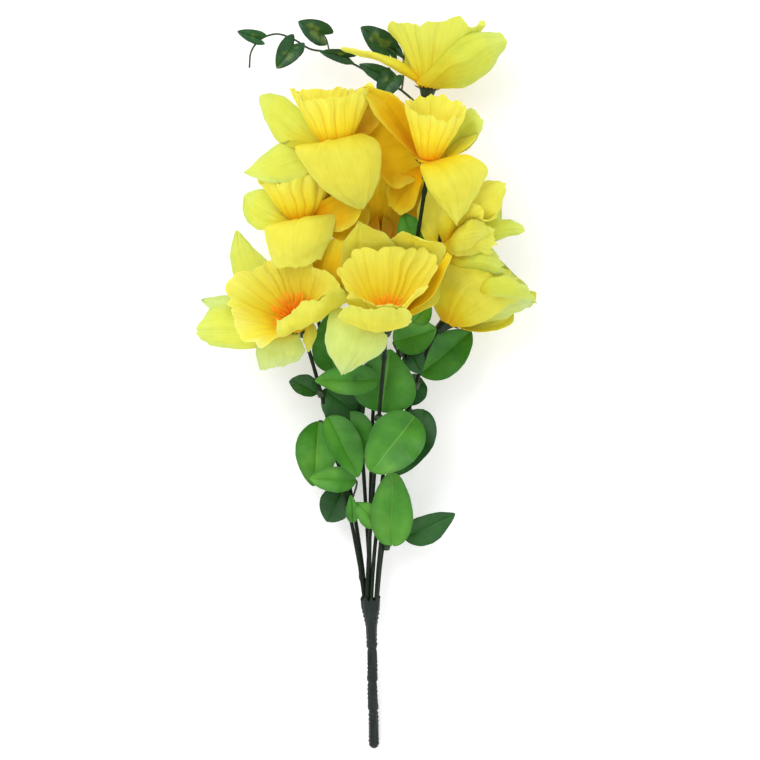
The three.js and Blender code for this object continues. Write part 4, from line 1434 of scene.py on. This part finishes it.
        Drape(((44, 264, 40), (39, 285, 38), (44, 302, 40), (59, 308, 42), (70, 307, 44), (79, 296, 44)),
              ((45, 264, 36), (50, 285, 34), (58, 297, 37), (69, 299, 41), (77, 296, 43), (88, 290, 44)),
              ((46, 263, 36), (59, 274, 30), (71, 282, 32), (82, 284, 36), (89, 285, 40), (94, 285, 44)),
              Cloth.LIME, 1.2),
        Drape(((65, 290, 66), (75, 296, 66), (82, 293, 62), (89, 286, 56)),
              ((64, 284, 68), (76, 285, 66), (86, 285, 60), (95, 280, 54)),
              ((65, 278, 66), (77, 277, 64), (88, 277, 58), (99, 274, 52)), Cloth.LIME, 2.4),
        Drape(((67, 271, 56), (77, 274, 58), (87, 276, 56), (95, 275, 50)),
              ((65, 264, 50), (77, 267, 50), (87, 270, 50), (97, 272, 47)),
              ((64, 261, 44), (77, 263, 44), (86, 267, 44), (95, 271, 44)), Cloth.PALE, 1.8),
        Drape(((44, 297, 56), (54, 295, 66), (65, 293, 70), (76, 290, 68)),
              ((45, 302, 58), (56, 301, 72), (66, 300, 76), (78, 296, 70)),
              ((46, 305, 56), (56, 307, 66), (66, 308, 68), (75, 304, 64)), Cloth.LIME, 2.6),
        Drape(((61, 282, 70), (70, 288, 74), (81, 290, 69), (89, 286, 60)),
              ((61, 281, 71), (71, 283, 77), (83, 284, 73), (95, 282, 60)),
              ((62, 280, 70), (72, 277, 74), (84, 277, 69), (98, 274, 58)), Cloth.LIME, 1.6),
    ], trumpet=Trumpet(root=5, mouth=11, length=26, pleats=8, phase=0.3)),
    Bloom("middle_right", (44, 316, 66), (0.66, 0.68, 0.3), bow=(4, 0, 4), seed=8, petals=[
        Petal(165, 34, 10, 42, 38, Tip.POINTED, Cloth.LIME),
        Petal(215, 30, 10, 38, 36, Tip.BLUNT),
    ], drapes=[
        Drape(((45, 312, 64), (33, 310, 70), (27, 323, 71), (28, 335, 72), (33, 345, 74)),
              ((45, 315, 66), (39, 318, 69), (34, 329, 68), (34, 337, 70), (35, 345, 74)),
              ((46, 317, 68), (43, 322, 74), (41, 330, 75), (40, 338, 75), (37, 345, 74)), Cloth.LEMON, 0.9),
        Drape(((42, 310, 68), (39, 319, 76), (40, 332, 80), (43, 340, 80), (47, 345, 78)),
              ((45, 311, 72), (46, 322, 86), (47, 332, 89), (48, 339, 85), (48, 346, 78)),
              ((48, 313, 70), (52, 321, 73), (54, 330, 76), (53, 339, 78), (50, 345, 78)), Cloth.LEMON, 1.0),
        Drape(((45, 313, 60), (59, 319, 60), (71, 324, 60), (80, 324, 60), (85, 324, 60)),
              ((45, 312, 58), (59, 313, 65), (71, 317, 67), (81, 319, 65), (92, 318, 61)),
              ((46, 311, 60), (59, 308, 60), (70, 310, 60), (80, 313, 60), (88, 315, 60)), Cloth.LIME, 1.0),
        Drape(((43, 311, 68), (47, 306, 76), (51, 305, 82), (59, 307, 84), (65, 312, 82)),
              ((45, 312, 68), (48, 312, 82), (53, 314, 90), (60, 316, 90), (69, 317, 82)),
              ((46, 314, 68), (50, 318, 77), (55, 321, 83), (61, 324, 85), (67, 323, 81)), Cloth.LEMON, 1.6),
        Drape(((44, 315, 66), (50, 328, 70), (54, 338, 74), (61, 346, 76), (67, 348, 76)),
              ((45, 315, 68), (56, 329, 78), (64, 335, 82), (72, 341, 82), (79, 346, 80)),
              ((47, 315, 66), (60, 320, 70), (70, 323, 73), (76, 329, 74), (78, 337, 76)), Cloth.LEMON, 1.4),
        Drape(((40, 308, 66), (49, 303, 74), (59, 302, 76), (69, 304, 74)),
              ((41, 310, 68), (51, 312, 80), (61, 312, 82), (72, 308, 78)),
              ((42, 312, 68), (53, 319, 78), (64, 321, 80), (74, 318, 78)), Cloth.LEMON, 2.4),
        Drape(((38, 315, 63), (36, 309, 62), (37, 304, 60), (39, 297, 58)),
              ((42, 314, 65), (42, 308, 66), (43, 303, 64), (44, 297, 60)),
              ((47, 314, 63), (48, 308, 63), (49, 303, 62), (50, 297, 58)), Cloth.GOLDEN, 1.0),
    ], trumpet=Trumpet(mouth=15, length=27, pleats=9, phase=1.8)),
    # The back bloom lies under the others; all its petals are in the golden cloth, which is painted shade.
    Bloom("back", (4, 310, 31.5), (-0.05, 0.97, 0.16), bow=(-4, 0, -4), seed=9, petals=[
        Petal(14, 50, 16, 56, 48, Tip.BLUNT, Cloth.GOLDEN, base=0.7),
        Petal(72, 46, 8, 54, 46, Tip.BLUNT, Cloth.GOLDEN, -40, base=0.7),
        Petal(130, 40, 20, 38, 36, Tip.BLUNT, Cloth.GOLDEN),
        Petal(186, 48, 16, 40, 34, Tip.POINTED, Cloth.GOLDEN),
        Petal(234, 16, 16, 50, 38, Tip.BLUNT, Cloth.GOLDEN),
        Petal(296, 40, 8, 54, 46, Tip.BLUNT, Cloth.GOLDEN, 40, base=0.7),
    ], drapes=[], trumpet=Trumpet(root=5, mouth=16, length=28, pleats=10, phase=0.7)),
]


# Stems and handle


@dataclass(frozen=True)
class Handle:
    """The moulded handle that the stems run into, with three waists and a fluted, hollow mouth."""

    tip: Point = (0.0, -1.0, 2.7)
    top: Point = (-2.0, 93.0, 18.0)
    mouth: float = 5.7
    sunk: float = 9.0
    ring: float = 3.8
    waists: tuple[float, ...] = (0.25, 0.44, 0.66)
    flutes: int = 8
    flute_turn: float = 5.0
    flute_depth: float = 0.085
    flutes_from: float = 62.0
    scallop: float = 1.5
    scallops_from: float = 82.0
    tape_pitch: float = 2.7
    tape_depth: float = 0.035

    SIDES = 36
    STEP = 0.6

    def way(self) -> np.ndarray:
        """Give the handle's direction, from tip to mouth."""
        return unit(np.array(self.top) - np.array(self.tip))

    def slot_start(self, angle: float | None) -> np.ndarray:
        """Find where a stem starts inside the handle.

        Args:
            angle: The slot's angle from the right towards up, or None for the middle one.

        Returns:
            The point.
        """
        start = np.array(self.top) - self.way() * self.sunk
        if angle is None:
            return start
        spread = np.array([math.cos(math.radians(angle)), 0.0, math.sin(math.radians(angle))])
        return start + spread * self.ring

    def profile(self) -> tuple[np.ndarray, np.ndarray]:
        """Follow the outline from the tip over the waists and the lip into the hollow mouth.

        Returns:
            Heights along the handle and the radius at each, in short steps.
        """
        length = float(np.linalg.norm(np.array(self.top) - np.array(self.tip)))
        corners = [(0.0, 0.7), (0.4, 1.5), (1.2, 2.4), (2.6, 2.95), (4.5, 3.1), (length * 0.17, 3.0)]
        for share in self.waists:
            waist = share * length
            corners += [(waist - 2.2, 3.0), (waist - 0.4, 2.7), (waist, 2.55), (waist + 0.7, 3.2),
                        (waist + 2.4, 3.4), (waist + 5.0, 3.15)]
        corners += [(length * 0.8, 3.25), (length * 0.86, 4.2), (length * 0.93, 5.4)]
        corners += [(length - 1.0, self.mouth), (length, self.mouth - 0.3), (length, self.mouth - 0.9)]
        corners += [(length - 4.0, self.mouth - 1.0), (length - 7.5, self.mouth - 2.2)]
        heights, radii = np.array(corners).T
        cuts = [max(3, math.ceil(abs(rise) / self.STEP)) for rise in np.diff(heights)]
        places = np.concatenate([np.linspace(k, k + 1, cut, endpoint=False) for k, cut in enumerate(cuts)])
        numbers = np.arange(len(radii))
        return np.interp(places, numbers, heights), np.interp(places, numbers, radii)

    def dress(self, coat: Material) -> None:
        """Build the handle, lumpy and wound like tape, with flutes towards its mouth.

        Args:
            coat: Its material.
        """
        turns = np.linspace(0, 2 * np.pi, self.SIDES, endpoint=False)
        across = unit(np.cross(self.way(), UP))
        out = np.outer(np.cos(turns), across) + np.outer(np.sin(turns), np.cross(across, self.way()))
        flute = np.cos(self.flutes * (turns + math.radians(self.flute_turn)))
        rings = []
        for height, radius in zip(*self.profile()):
            lumpy = 1 + 0.045 * np.sin(3 * turns + height * 0.13) + 0.03 * np.sin(5 * turns - height * 0.21)
            grooved = 1 + self.flute_depth * flute * np.clip((height - self.flutes_from) / 20, 0, 1)
            rise = height + self.scallop * (flute - 0.4) * np.clip((height - self.scallops_from) / 10, 0, 1)
            wound = np.sin(2 * np.pi * rise / self.tape_pitch + turns) * (1 + np.sin(rise * 0.4))
            taped = 1 + self.tape_depth * wound
            centre = np.array(self.tip) + self.way() * rise[:, None]
            rings.append(centre + out * (radius * lumpy * grooved * taped)[:, None])
        skin = Skin()
        skin.sleeve(np.array(rings))
        settle(skin.build("grip", [coat]), "handle")


HANDLE = Handle()
# The angle of each stem's slot round the handle's mouth.
STEM_SLOTS = {
    "upper_left": None, "lower_right": 355, "middle_right": 40, "upper_right": 85, "lower_middle": 130,
    "lower_left": 175, "middle_left": 220, "back": 265, "top": 310,
}
# Heights along the bunch at which a stem has a knot.
KNOTS = {"upper_right": (341.0,), "lower_left": (105.0, 176.0), "lower_middle": (240.0,)}


@dataclass(frozen=True)
class Stem:
    """A coated wire from its slot in the handle to its bloom."""

    bloom: Bloom
    radius: float = 1.2
    knot: float = 0.55
    knot_length: float = 1.6
    sides: int = 14
    steps: int = 110

    CALYX_REACH = 7.6

    def corners(self) -> list[np.ndarray]:
        """Place the four control points of the stem's curve.

        Returns:
            The points, from the handle to the bloom.
        """
        way = unit(np.array(self.bloom.face))
        bow = np.array(self.bloom.bow, float)
        end = np.array(self.bloom.at) - way * self.CALYX_REACH
        start = HANDLE.slot_start(STEM_SLOTS[self.bloom.name])
        distance = float(np.linalg.norm(end - start))
        early = start + HANDLE.way() * 0.2 * distance + bow * 0.4
        late = end - way * 0.12 * distance + bow
        return [start, early, late, end]

    def path(self) -> np.ndarray:
        """Give the points along the stem."""
        return bezier(self.corners(), self.steps)

    def dress(self, coat: Material) -> None:
        """Build the stem with its small knots.

        Args:
            coat: Its material.
        """
        path = self.path()
        radii = np.full(len(path), self.radius)
        radii = radii * (1 + 0.05 * swell(np.linspace(0, 9, len(path)), self.bloom.seed, 3))
        for height in KNOTS.get(self.bloom.name, ()):
            radii = radii + self.knot * np.exp(-(((path[:, 1] - height) / self.knot_length) ** 2))
        skin = Skin()
        skin.tube(path, radii, self.sides)
        settle(skin.build(f"wire_{self.bloom.name}", [coat]), f"stem_{self.bloom.name}")


def stem_at(path: np.ndarray, height: float) -> tuple[np.ndarray, np.ndarray]:
    """Find the place on a stem at a height along the bunch.

    Args:
        path: Points along the stem.
        height: The height, in millimetres.

    Returns:
        The point and the stem's way there.
    """
    k = max(int(np.searchsorted(path[:, 1], height)), 1)
    before, after = path[k - 1], path[k]
    share = (height - before[1]) / (after[1] - before[1])
    return before + (after - before) * share, unit(after - before)


# Leaves


class LeafShade(Enum):
    """The leaf cloth and its darker copy, painted shade for leaves that lie in shade, in the order of their
    materials on a sprig.
    """

    LIGHT = 0
    # Painted shade: the darker copy of the leaf cloth.
    DARK = 2


class LeafKind(Enum):
    """The cuts of leaf: how far forward it is broadest and how narrow its ends are; a heart has its own."""

    OVATE = (0.74, 0.66)
    ROUND = (0.86, 0.5)
    HEART = None


@dataclass(frozen=True)
class Leaf:
    """One leaf from its root to its tip, in the bunch's frame."""

    root: Point
    tip: Point
    width: float
    roll: float = 0.0
    arch: float = 3.0
    fold: float = 0.34
    kind: LeafKind = LeafKind.OVATE
    dye_and_shade: LeafShade = LeafShade.LIGHT
    stalk_from: Point | None = None
    seed: int = 0

    ROWS = 42
    COLUMNS = 27
    THICKNESS = 0.35
    VEIN_PAIRS = 9
    VEIN_SLANT = 0.19
    VEIN_HEIGHT = 0.16
    MIDRIB_DEPTH = 0.35
    HEART_LOBES = 0.26
    STALK_TIP = 0.16
    BUCKLE, BUCKLE_SIZE = 0.7, 22.0
    # The stalk runs on under the leaf from this row, and ends so many rows before the tip.
    STALK_ROWS = (2, 8)

    def outline(self, s: np.ndarray) -> np.ndarray:
        """Give the half-width along the leaf.

        Args:
            s: Share of the length, from root to tip.

        Returns:
            Half-width as a share of the widest.
        """
        if self.kind is LeafKind.HEART:
            return np.maximum((1 - s) ** 0.75 * (0.7 + 1.7 * s) ** 0.5, 0.02)
        forward, narrow = self.kind.value
        full = np.maximum(np.sin(np.pi * np.clip(s, 0, 1) ** forward), 0) ** narrow
        return np.maximum(full, np.where(s < 0.5, 0.08 * (1 - s), 0.015))

    def relief(self, s: np.ndarray, v: np.ndarray, half: np.ndarray) -> np.ndarray:
        """Work out how far the leaf stands off the line from its root to its tip.

        Args:
            s: Share of the length.
            v: Place across, from -1 to 1.
            half: Half-width there, in millimetres.

        Returns:
            The height, in millimetres.
        """
        drop = 4 * self.arch * s * (1 - s) + self.fold * half * np.abs(v)
        rows = self.VEIN_PAIRS * (s - self.VEIN_SLANT * np.abs(v))
        between = np.abs(v) * (1 - np.abs(v)) * 2.5 * np.sin(np.pi * s)
        veins = -self.VEIN_HEIGHT * np.cos(2 * np.pi * rows) * between
        groove = np.exp(-((v / 0.07) ** 2)) * np.sin(np.pi * np.clip(s * 1.05, 0, 1)) ** 0.5
        curl = 0.08 * self.width * v * v * swell(s * 1.1 + (v > 0) * 0.6, self.seed + 1, 3)
        return drop + veins - self.MIDRIB_DEPTH * groove + curl

    def surface(self) -> tuple[np.ndarray, np.ndarray]:
        """Work out the leaf's middle surface.

        Returns:
            Points and UV places, rows x columns.
        """
        t = np.linspace(0, 1, self.ROWS)
        s, v, uv = spread_sheet((0.5 - 0.5 * np.cos(np.pi * t)) * 0.6 + t * 0.4, self.COLUMNS)
        start = np.array(self.root, float)
        span = np.array(self.tip, float) - start
        way = span / float(np.linalg.norm(span))
        up = unit(UP - way * way[2])
        angle = math.radians(self.roll)
        up = up * math.cos(angle) + np.cross(way, up) * math.sin(angle)
        half = self.width / 2 * self.outline(s)
        half = half * (1 + 0.018 * swell(s * 3 + (v > 0) * 5, self.seed, 4, 0.7) * v**2)
        lobes = self.HEART_LOBES if self.kind is LeafKind.HEART else 0.0
        along = s - lobes * np.sin(np.pi * np.abs(v) ** 1.3) * (1 - s) ** 2
        height = self.relief(s, v, half)
        points = start + along[..., None] * span + (half * v)[..., None] * np.cross(up, way)
        points = points + height[..., None] * up
        return crumple(points, self.seed + 2, self.BUCKLE_SIZE, self.BUCKLE * s), uv

    def add_to(self, skin: Skin, stalk_start: np.ndarray, radius: float) -> None:
        """Add the leaf and its stalk to a skin.

        Args:
            skin: The skin to add them to.
            stalk_start: Where the stalk begins.
            radius: Radius of the stalk.
        """
        points, uv = self.surface()
        skin.blade(points, uv, self.THICKNESS, self.dye_and_shade.value)
        middle = self.COLUMNS // 2
        down = grid_normals(points)[:, middle]
        down = np.where((down[:, 2:] > 0), -down, down)
        taper = np.linspace(radius * 0.8, self.STALK_TIP, self.ROWS)[:, None]
        first, spare = self.STALK_ROWS
        spine = (points[:, middle] + down * (taper + self.STALK_TIP))[first:-spare]
        inward = unit(spine[6] - spine[0])
        gap = float(np.linalg.norm(spine[0] - stalk_start))
        out = unit(spine[0] - stalk_start)
        bend = min(gap * 0.35, 4.0)
        stalk = bezier([stalk_start, stalk_start + out * gap * 0.4, spine[0] - inward * bend, spine[0]], 12)
        radii = np.concatenate([np.full(len(stalk), radius * 0.85), taper[first + 1:-spare, 0]])
        skin.tube(np.vstack([stalk, spine[1:]]), radii, 8, finish=1)


@dataclass(frozen=True)
class Collar:
    """The moulded ring that holds a sprig or the vine on its stem."""

    half_length: float = 2.4
    end_radius: float = 1.35
    bulge: float = 1.15

    def add_to(self, skin: Skin, centre: np.ndarray, way: np.ndarray) -> None:
        """Add the ring to a skin.

        Args:
            skin: The skin to add it to.
            centre: The ring's middle.
            way: The stem's way there.
        """
        share = np.linspace(-1, 1, 9)
        radii = self.end_radius + self.bulge * np.sqrt(np.maximum(1 - share**4, 0))
        skin.tube(centre + way * share[:, None] * self.half_length, radii, 16, finish=1)


@dataclass(frozen=True)
class Sprig:
    """A ring on a stem, or just beside it, with the leaves that grow from it."""

    name: str
    stem: str
    height: float
    leaves: tuple[Leaf, ...]
    beside: Point | None = None
    aside: float = 2.2
    stalk: float = 0.75
    stalk_depth: float = 1.4
    seed: int = 0

    def dress(self, path: np.ndarray, cloths: dict[str, Material]) -> None:
        """Build the sprig.

        Args:
            path: Points along its stem.
            cloths: Materials by name.
        """
        centre, way = stem_at(path, self.height)
        if self.beside:
            centre = centre + unit(np.array(self.beside)) * self.aside
        skin = Skin()
        Collar().add_to(skin, centre, way)
        for k, leaf in enumerate(self.leaves):
            out = np.array(leaf.root, float) - centre
            out = unit(out - way * (out @ way))
            own = replace(leaf, seed=self.seed * 50 + k * 7)
            own.add_to(skin, centre + out * self.stalk_depth, self.stalk)
        # The third finish is the darker leaf cloth, painted shade.
        finishes = [cloths[name] for name in ("leaf", "stalk", "shaded_leaf")]
        made = skin.build(f"sprig_{self.name}", finishes, crease=60)
        settle(made, f"leaves_{self.name}")


SPRIGS = [
    Sprig("low_right", "lower_right", 124, (
        Leaf((11, 125, 29), (11, 170, 44), 26, kind=LeafKind.ROUND),
        Leaf((18, 130, 24), (50, 145, 30), 19, roll=20, dye_and_shade=LeafShade.DARK),
        Leaf((4, 138, 36), (-11, 151, 39), 15),
    ), beside=(1, 0, 0.1), seed=1),
    Sprig("right", "lower_right", 207, (
        Leaf((25, 204, 50), (-2, 170, 58), 33, arch=5, kind=LeafKind.ROUND),
        Leaf((31, 208, 41), (15, 168, 43), 26, dye_and_shade=LeafShade.DARK),
        Leaf((21, 211, 31), (26, 230, 26), 17, roll=10, dye_and_shade=LeafShade.DARK),
    ), seed=2),
    Sprig("upper_right", "lower_right", 223, (
        Leaf((28, 230, 34), (60, 256, 28), 27, fold=0.45),
    ), seed=3),
    Sprig("middle_right", "upper_right", 243, (
        Leaf((12, 250, 53), (38, 258, 51), 23),
        Leaf((24, 262, 58), (34, 274, 60), 15),
        Leaf((21, 245, 46), (29, 231, 46), 14, dye_and_shade=LeafShade.DARK),
    ), seed=4),
    Sprig("middle", "lower_middle", 203, (
        Leaf((4, 207, 45), (10, 245, 53), 39, arch=2),
        Leaf((4, 227, 57), (-36, 226, 50), 19),
    ), seed=5),
    Sprig("left", "lower_left", 200, (
        Leaf((-34, 201, 32), (-37, 161, 23), 26),
        Leaf((-28, 204, 46), (-10, 167, 45), 22, roll=-15),
    ), seed=6),
    Sprig("upper_left", "lower_left", 218, (
        Leaf((-35, 218, 38), (-52, 226, 34), 14, roll=20, dye_and_shade=LeafShade.DARK),
        Leaf((-30, 221, 40), (-7, 204, 33), 27, dye_and_shade=LeafShade.DARK),
    ), seed=7),
    Sprig("inner_left", "middle_left", 230, (
        Leaf((-25, 231, 39), (-26, 268, 45), 25),
    ), seed=8),
    Sprig("inner_low", "middle_left", 207, (
        Leaf((-18, 206, 37), (-5, 180, 37), 24),
    ), seed=9),
    Sprig("low_left", "lower_left", 148, (
        Leaf((-18, 160, 23), (-29, 139, 18), 21, dye_and_shade=LeafShade.DARK),
        Leaf((-13, 139, 34), (-14, 156, 38), 8),
        Leaf((-11, 165, 37), (-40, 166, 36), 16),
    ), seed=10),
    Sprig("top", "upper_right", 307, (
        Leaf((27, 307, 61), (18, 328, 64), 19),
    ), seed=11),
]


# Vine


@dataclass(frozen=True)
class Vine:
    """The small glossy vine below the top bloom, with its curled tip."""

    hold_height: float = 391.0
    radius: float = 0.8
    stalk: float = 0.55
    arch: float = 1.5
    seed: int = 700
    path: tuple[Point, ...] = (
        (30.5, 391, 40), (25, 397, 38), (17, 404, 37), (8, 409.5, 36), (-1, 413.5, 36), (-8, 418, 35),
        (-16, 422, 34), (-27, 427.5, 33), (-39, 429.6, 33), (-49, 435.4, 34), (-59.4, 438.8, 35),
        (-69.2, 435.7, 36), (-75.3, 428.1, 36), (-76.5, 418, 35),
    )
    branches: tuple[tuple[Point, Point], ...] = (
        ((17, 404, 37), (18, 412, 22)), ((18, 412, 22), (18.2, 426, 28)),
    )
    leaves: tuple[Leaf, ...] = (
        Leaf((-70, 436, 37), (-84, 440, 39), 10, stalk_from=(-69.2, 435.7, 36)),
        Leaf((-49, 432, 37), (-60, 418, 40), 17, stalk_from=(-45, 433, 33.5)),
        Leaf((-31, 438, 35), (-46, 446, 37), 17, stalk_from=(-27, 427.5, 33)),
        Leaf((-16, 424, 38), (-33, 428, 40), 10, stalk_from=(-12, 420, 34.5)),
        Leaf((8, 431, 29), (-8, 443, 31), 18, stalk_from=(18.2, 424, 28)),
        Leaf((14, 427, 25), (7, 440, 21), 9, stalk_from=(18.2, 425, 28)),
        Leaf((8, 412, 41), (-9, 420, 43), 12, stalk_from=(8, 409.5, 36)),
        Leaf((11, 412, 42), (3, 399, 44), 17, stalk_from=(14, 406, 36.7)),
    )

    def dress(self, stem: np.ndarray, cloths: dict[str, Material]) -> None:
        """Build the vine with its leaves and the ring that it hangs on.

        Args:
            stem: Points along the stem that carries it.
            cloths: Materials by name.
        """
        skin = Skin()
        Collar().add_to(skin, *stem_at(stem, self.hold_height))
        run = smooth_path(np.array(self.path, float), 8)
        radii = np.linspace(self.radius, self.radius * 0.7, len(run))
        skin.tube(run, radii * (1 + 0.06 * swell(np.linspace(0, 12, len(run)), 3, 3)), 10, finish=1)
        for start, end in self.branches:
            skin.tube(np.linspace(start, end, 8), self.radius * 0.8, 8, finish=1)
        for k, leaf in enumerate(self.leaves):
            heart = replace(leaf, kind=LeafKind.HEART, arch=self.arch, seed=self.seed + k * 7)
            heart.add_to(skin, np.array(leaf.stalk_from, float), self.stalk)
        made = skin.build("heart_vine", [cloths["vine"], cloths["vine_stalk"]], crease=60)
        settle(made, "vine")


# Table, light and camera


@dataclass(frozen=True)
class Studio:
    """A pale table top, soft lamps and the camera that looks straight down on the bunch.

    The view is given in millimetres in the bunch's frame; its level is the height at which it is as
    wide as it says. Lamps and the table are in metres in the shared frame.
    """

    view_middle: Point = (3.7, 226.4, 0.0)
    view_width: float = 465.1
    view_level: float = 50.0
    distance: float = 5000.0
    sensor: float = 36.0
    table_size: float = 24.0
    table_glow: float = 0.28
    sky: float = 0.92
    aim: Point = (0.0, 0.05, 0.04)

    def table(self) -> None:
        """Lay the pale table top."""
        bpy.ops.mesh.primitive_plane_add(size=self.table_size, location=(0.0, 0.0, 0.0))
        floor = bpy.context.object
        floor.name = "table_top"
        s = Sketch("pale table")
        tone = s.ramp(s.noise(s.place, 3.0, 1.0), [(0.3, "#ececec"), (0.7, "#f2f2f2")])
        s.set_shader(Base_Color=tone, Roughness=0.9, Specular_IOR_Level=0.1,
                     Emission_Color=(1.0, 1.0, 1.0, 1.0), Emission_Strength=self.table_glow)
        floor.data.materials.append(s.material)

    def lamp(self, name: str, place: Point, size: float, power: float) -> None:
        """Hang one soft square lamp that points at the bunch.

        Args:
            name: Name of the lamp.
            place: Where it hangs, in metres.
            size: Length of its side, in metres.
            power: Its power, in watts.
        """
        data = bpy.data.lights.new(name, "AREA")
        data.size = size
        data.energy = power
        lamp = bpy.data.objects.new(name, data)
        lamp.location = place
        lamp.rotation_euler = (Vector(self.aim) - Vector(place)).to_track_quat("-Z", "Y").to_euler()
        bpy.context.scene.collection.objects.link(lamp)

    def light(self) -> None:
        """Light the scene softly from above and all round."""
        world = bpy.data.worlds.new("studio")
        world.use_nodes = True
        back = world.node_tree.nodes["Background"]
        back.inputs[0].default_value = (1.0, 1.0, 1.0, 1.0)
        back.inputs[1].default_value = self.sky
        bpy.context.scene.world = world
        self.lamp("key", (-0.9, 1.0, 2.0), size=1.3, power=22.0)
        self.lamp("fill", (1.3, -0.6, 1.9), size=1.6, power=5.0)

    def camera(self) -> None:
        """Place the camera over the bunch, looking straight down."""
        data = bpy.data.cameras.new("camera")
        data.sensor_width = self.sensor
        data.lens = self.sensor * (self.distance - self.view_level) / self.view_width
        data.clip_start = 0.5
        data.clip_end = 50.0
        camera = bpy.data.objects.new("camera", data)
        middle = (np.array(self.view_middle) + SHIFT) * METRES
        camera.location = (middle[0], middle[1], self.distance * METRES)
        bpy.context.scene.collection.objects.link(camera)
        bpy.context.scene.camera = camera

    def build(self) -> None:
        """Set up camera, table, light and colour handling."""
        self.camera()
        self.table()
        self.light()
        bpy.context.scene.view_settings.view_transform = "Standard"


def weave_cloths() -> dict[str, Material]:
    """Make every material of the bunch.

    Returns:
        The materials by name.
    """
    finishes = {
        "lemon": PetalCloth("lemon petal cloth", "#ebb014", "#ebd026", "#e9e04c", "#e2e25a", "#d8df62"),
        "lime": PetalCloth("lime petal cloth", "#e6b81c", "#dfd032", "#d2da50", "#c8d968", "#b4d078"),
        "pale": PetalCloth("pale petal cloth", "#dfc83c", "#d6db58", "#cde078", "#c4dc8c", "#b4d396"),
        # Painted shade: a deeper, oranger copy of the petal cloth for petals in shade.
        "golden": PetalCloth("shaded golden petal cloth", "#e28a04", "#e59e06", "#e6b010", "#e4c628", "#dfd646"),
        # The last colour of each trumpet cloth, its crease colour, is painted shade in the pleats' creases.
        "trumpet": TrumpetCloth("trumpet cloth"),
        "lime_trumpet": TrumpetCloth("lime trumpet cloth", "#eeb010", "#e8d028", "#e0dc44", "#d3dc5c",
                                     "#dcb62a"),
        "stamen": StamenThread(),
        "cup": CoatedWire("cup plastic", "#1a2616", "#2e3f26", "#4c5a3a", shine=0.25),
        "stem": CoatedWire("coated wire", "#0d160d", "#1b2a18", "#35432d", shine=0.18),
        "stalk": CoatedWire("leaf stalk plastic", "#1a2e16", "#2c4824", "#466238"),
        "handle": CoatedWire("handle plastic", "#0d1512", "#1d2926", "#46544f", shine=0.3),
        "leaf": LeafCloth("leaf cloth", "#26641a", "#43881f", "#74b03e", "#98c462"),
        # Painted shade: a darker copy of the leaf cloth for leaves in shade.
        "shaded_leaf": LeafCloth("shaded leaf cloth", "#173f18", "#20541c", "#336c22", "#5c9040"),
        "vine": LeafCloth("vine leaf plastic", "#12351a", "#1c4a22", "#2d6430", "#8c9c3e", patches=0.32,
                          vein_pairs=6.0, roughness=0.35),
        "vine_stalk": CoatedWire("vine plastic", "#1f3520", "#31492d", "#4b5f42"),
    }
    return {name: finish.make() for name, finish in finishes.items()}


def main() -> None:
    """Build the studio and every piece of the bunch in order."""
    logging.basicConfig(level=logging.INFO, format="%(message)s")
    Studio().build()
    cloths = weave_cloths()
    stems = {bloom.name: Stem(bloom) for bloom in BLOOMS}
    for bloom in BLOOMS:
        bloom.dress(cloths)
        stems[bloom.name].dress(cloths["stem"])
    HANDLE.dress(cloths["handle"])
    for sprig in SPRIGS:
        sprig.dress(stems[sprig.stem].path(), cloths)
    Vine().dress(stems["top"].path(), cloths)


if __name__ == "__main__":
    main()
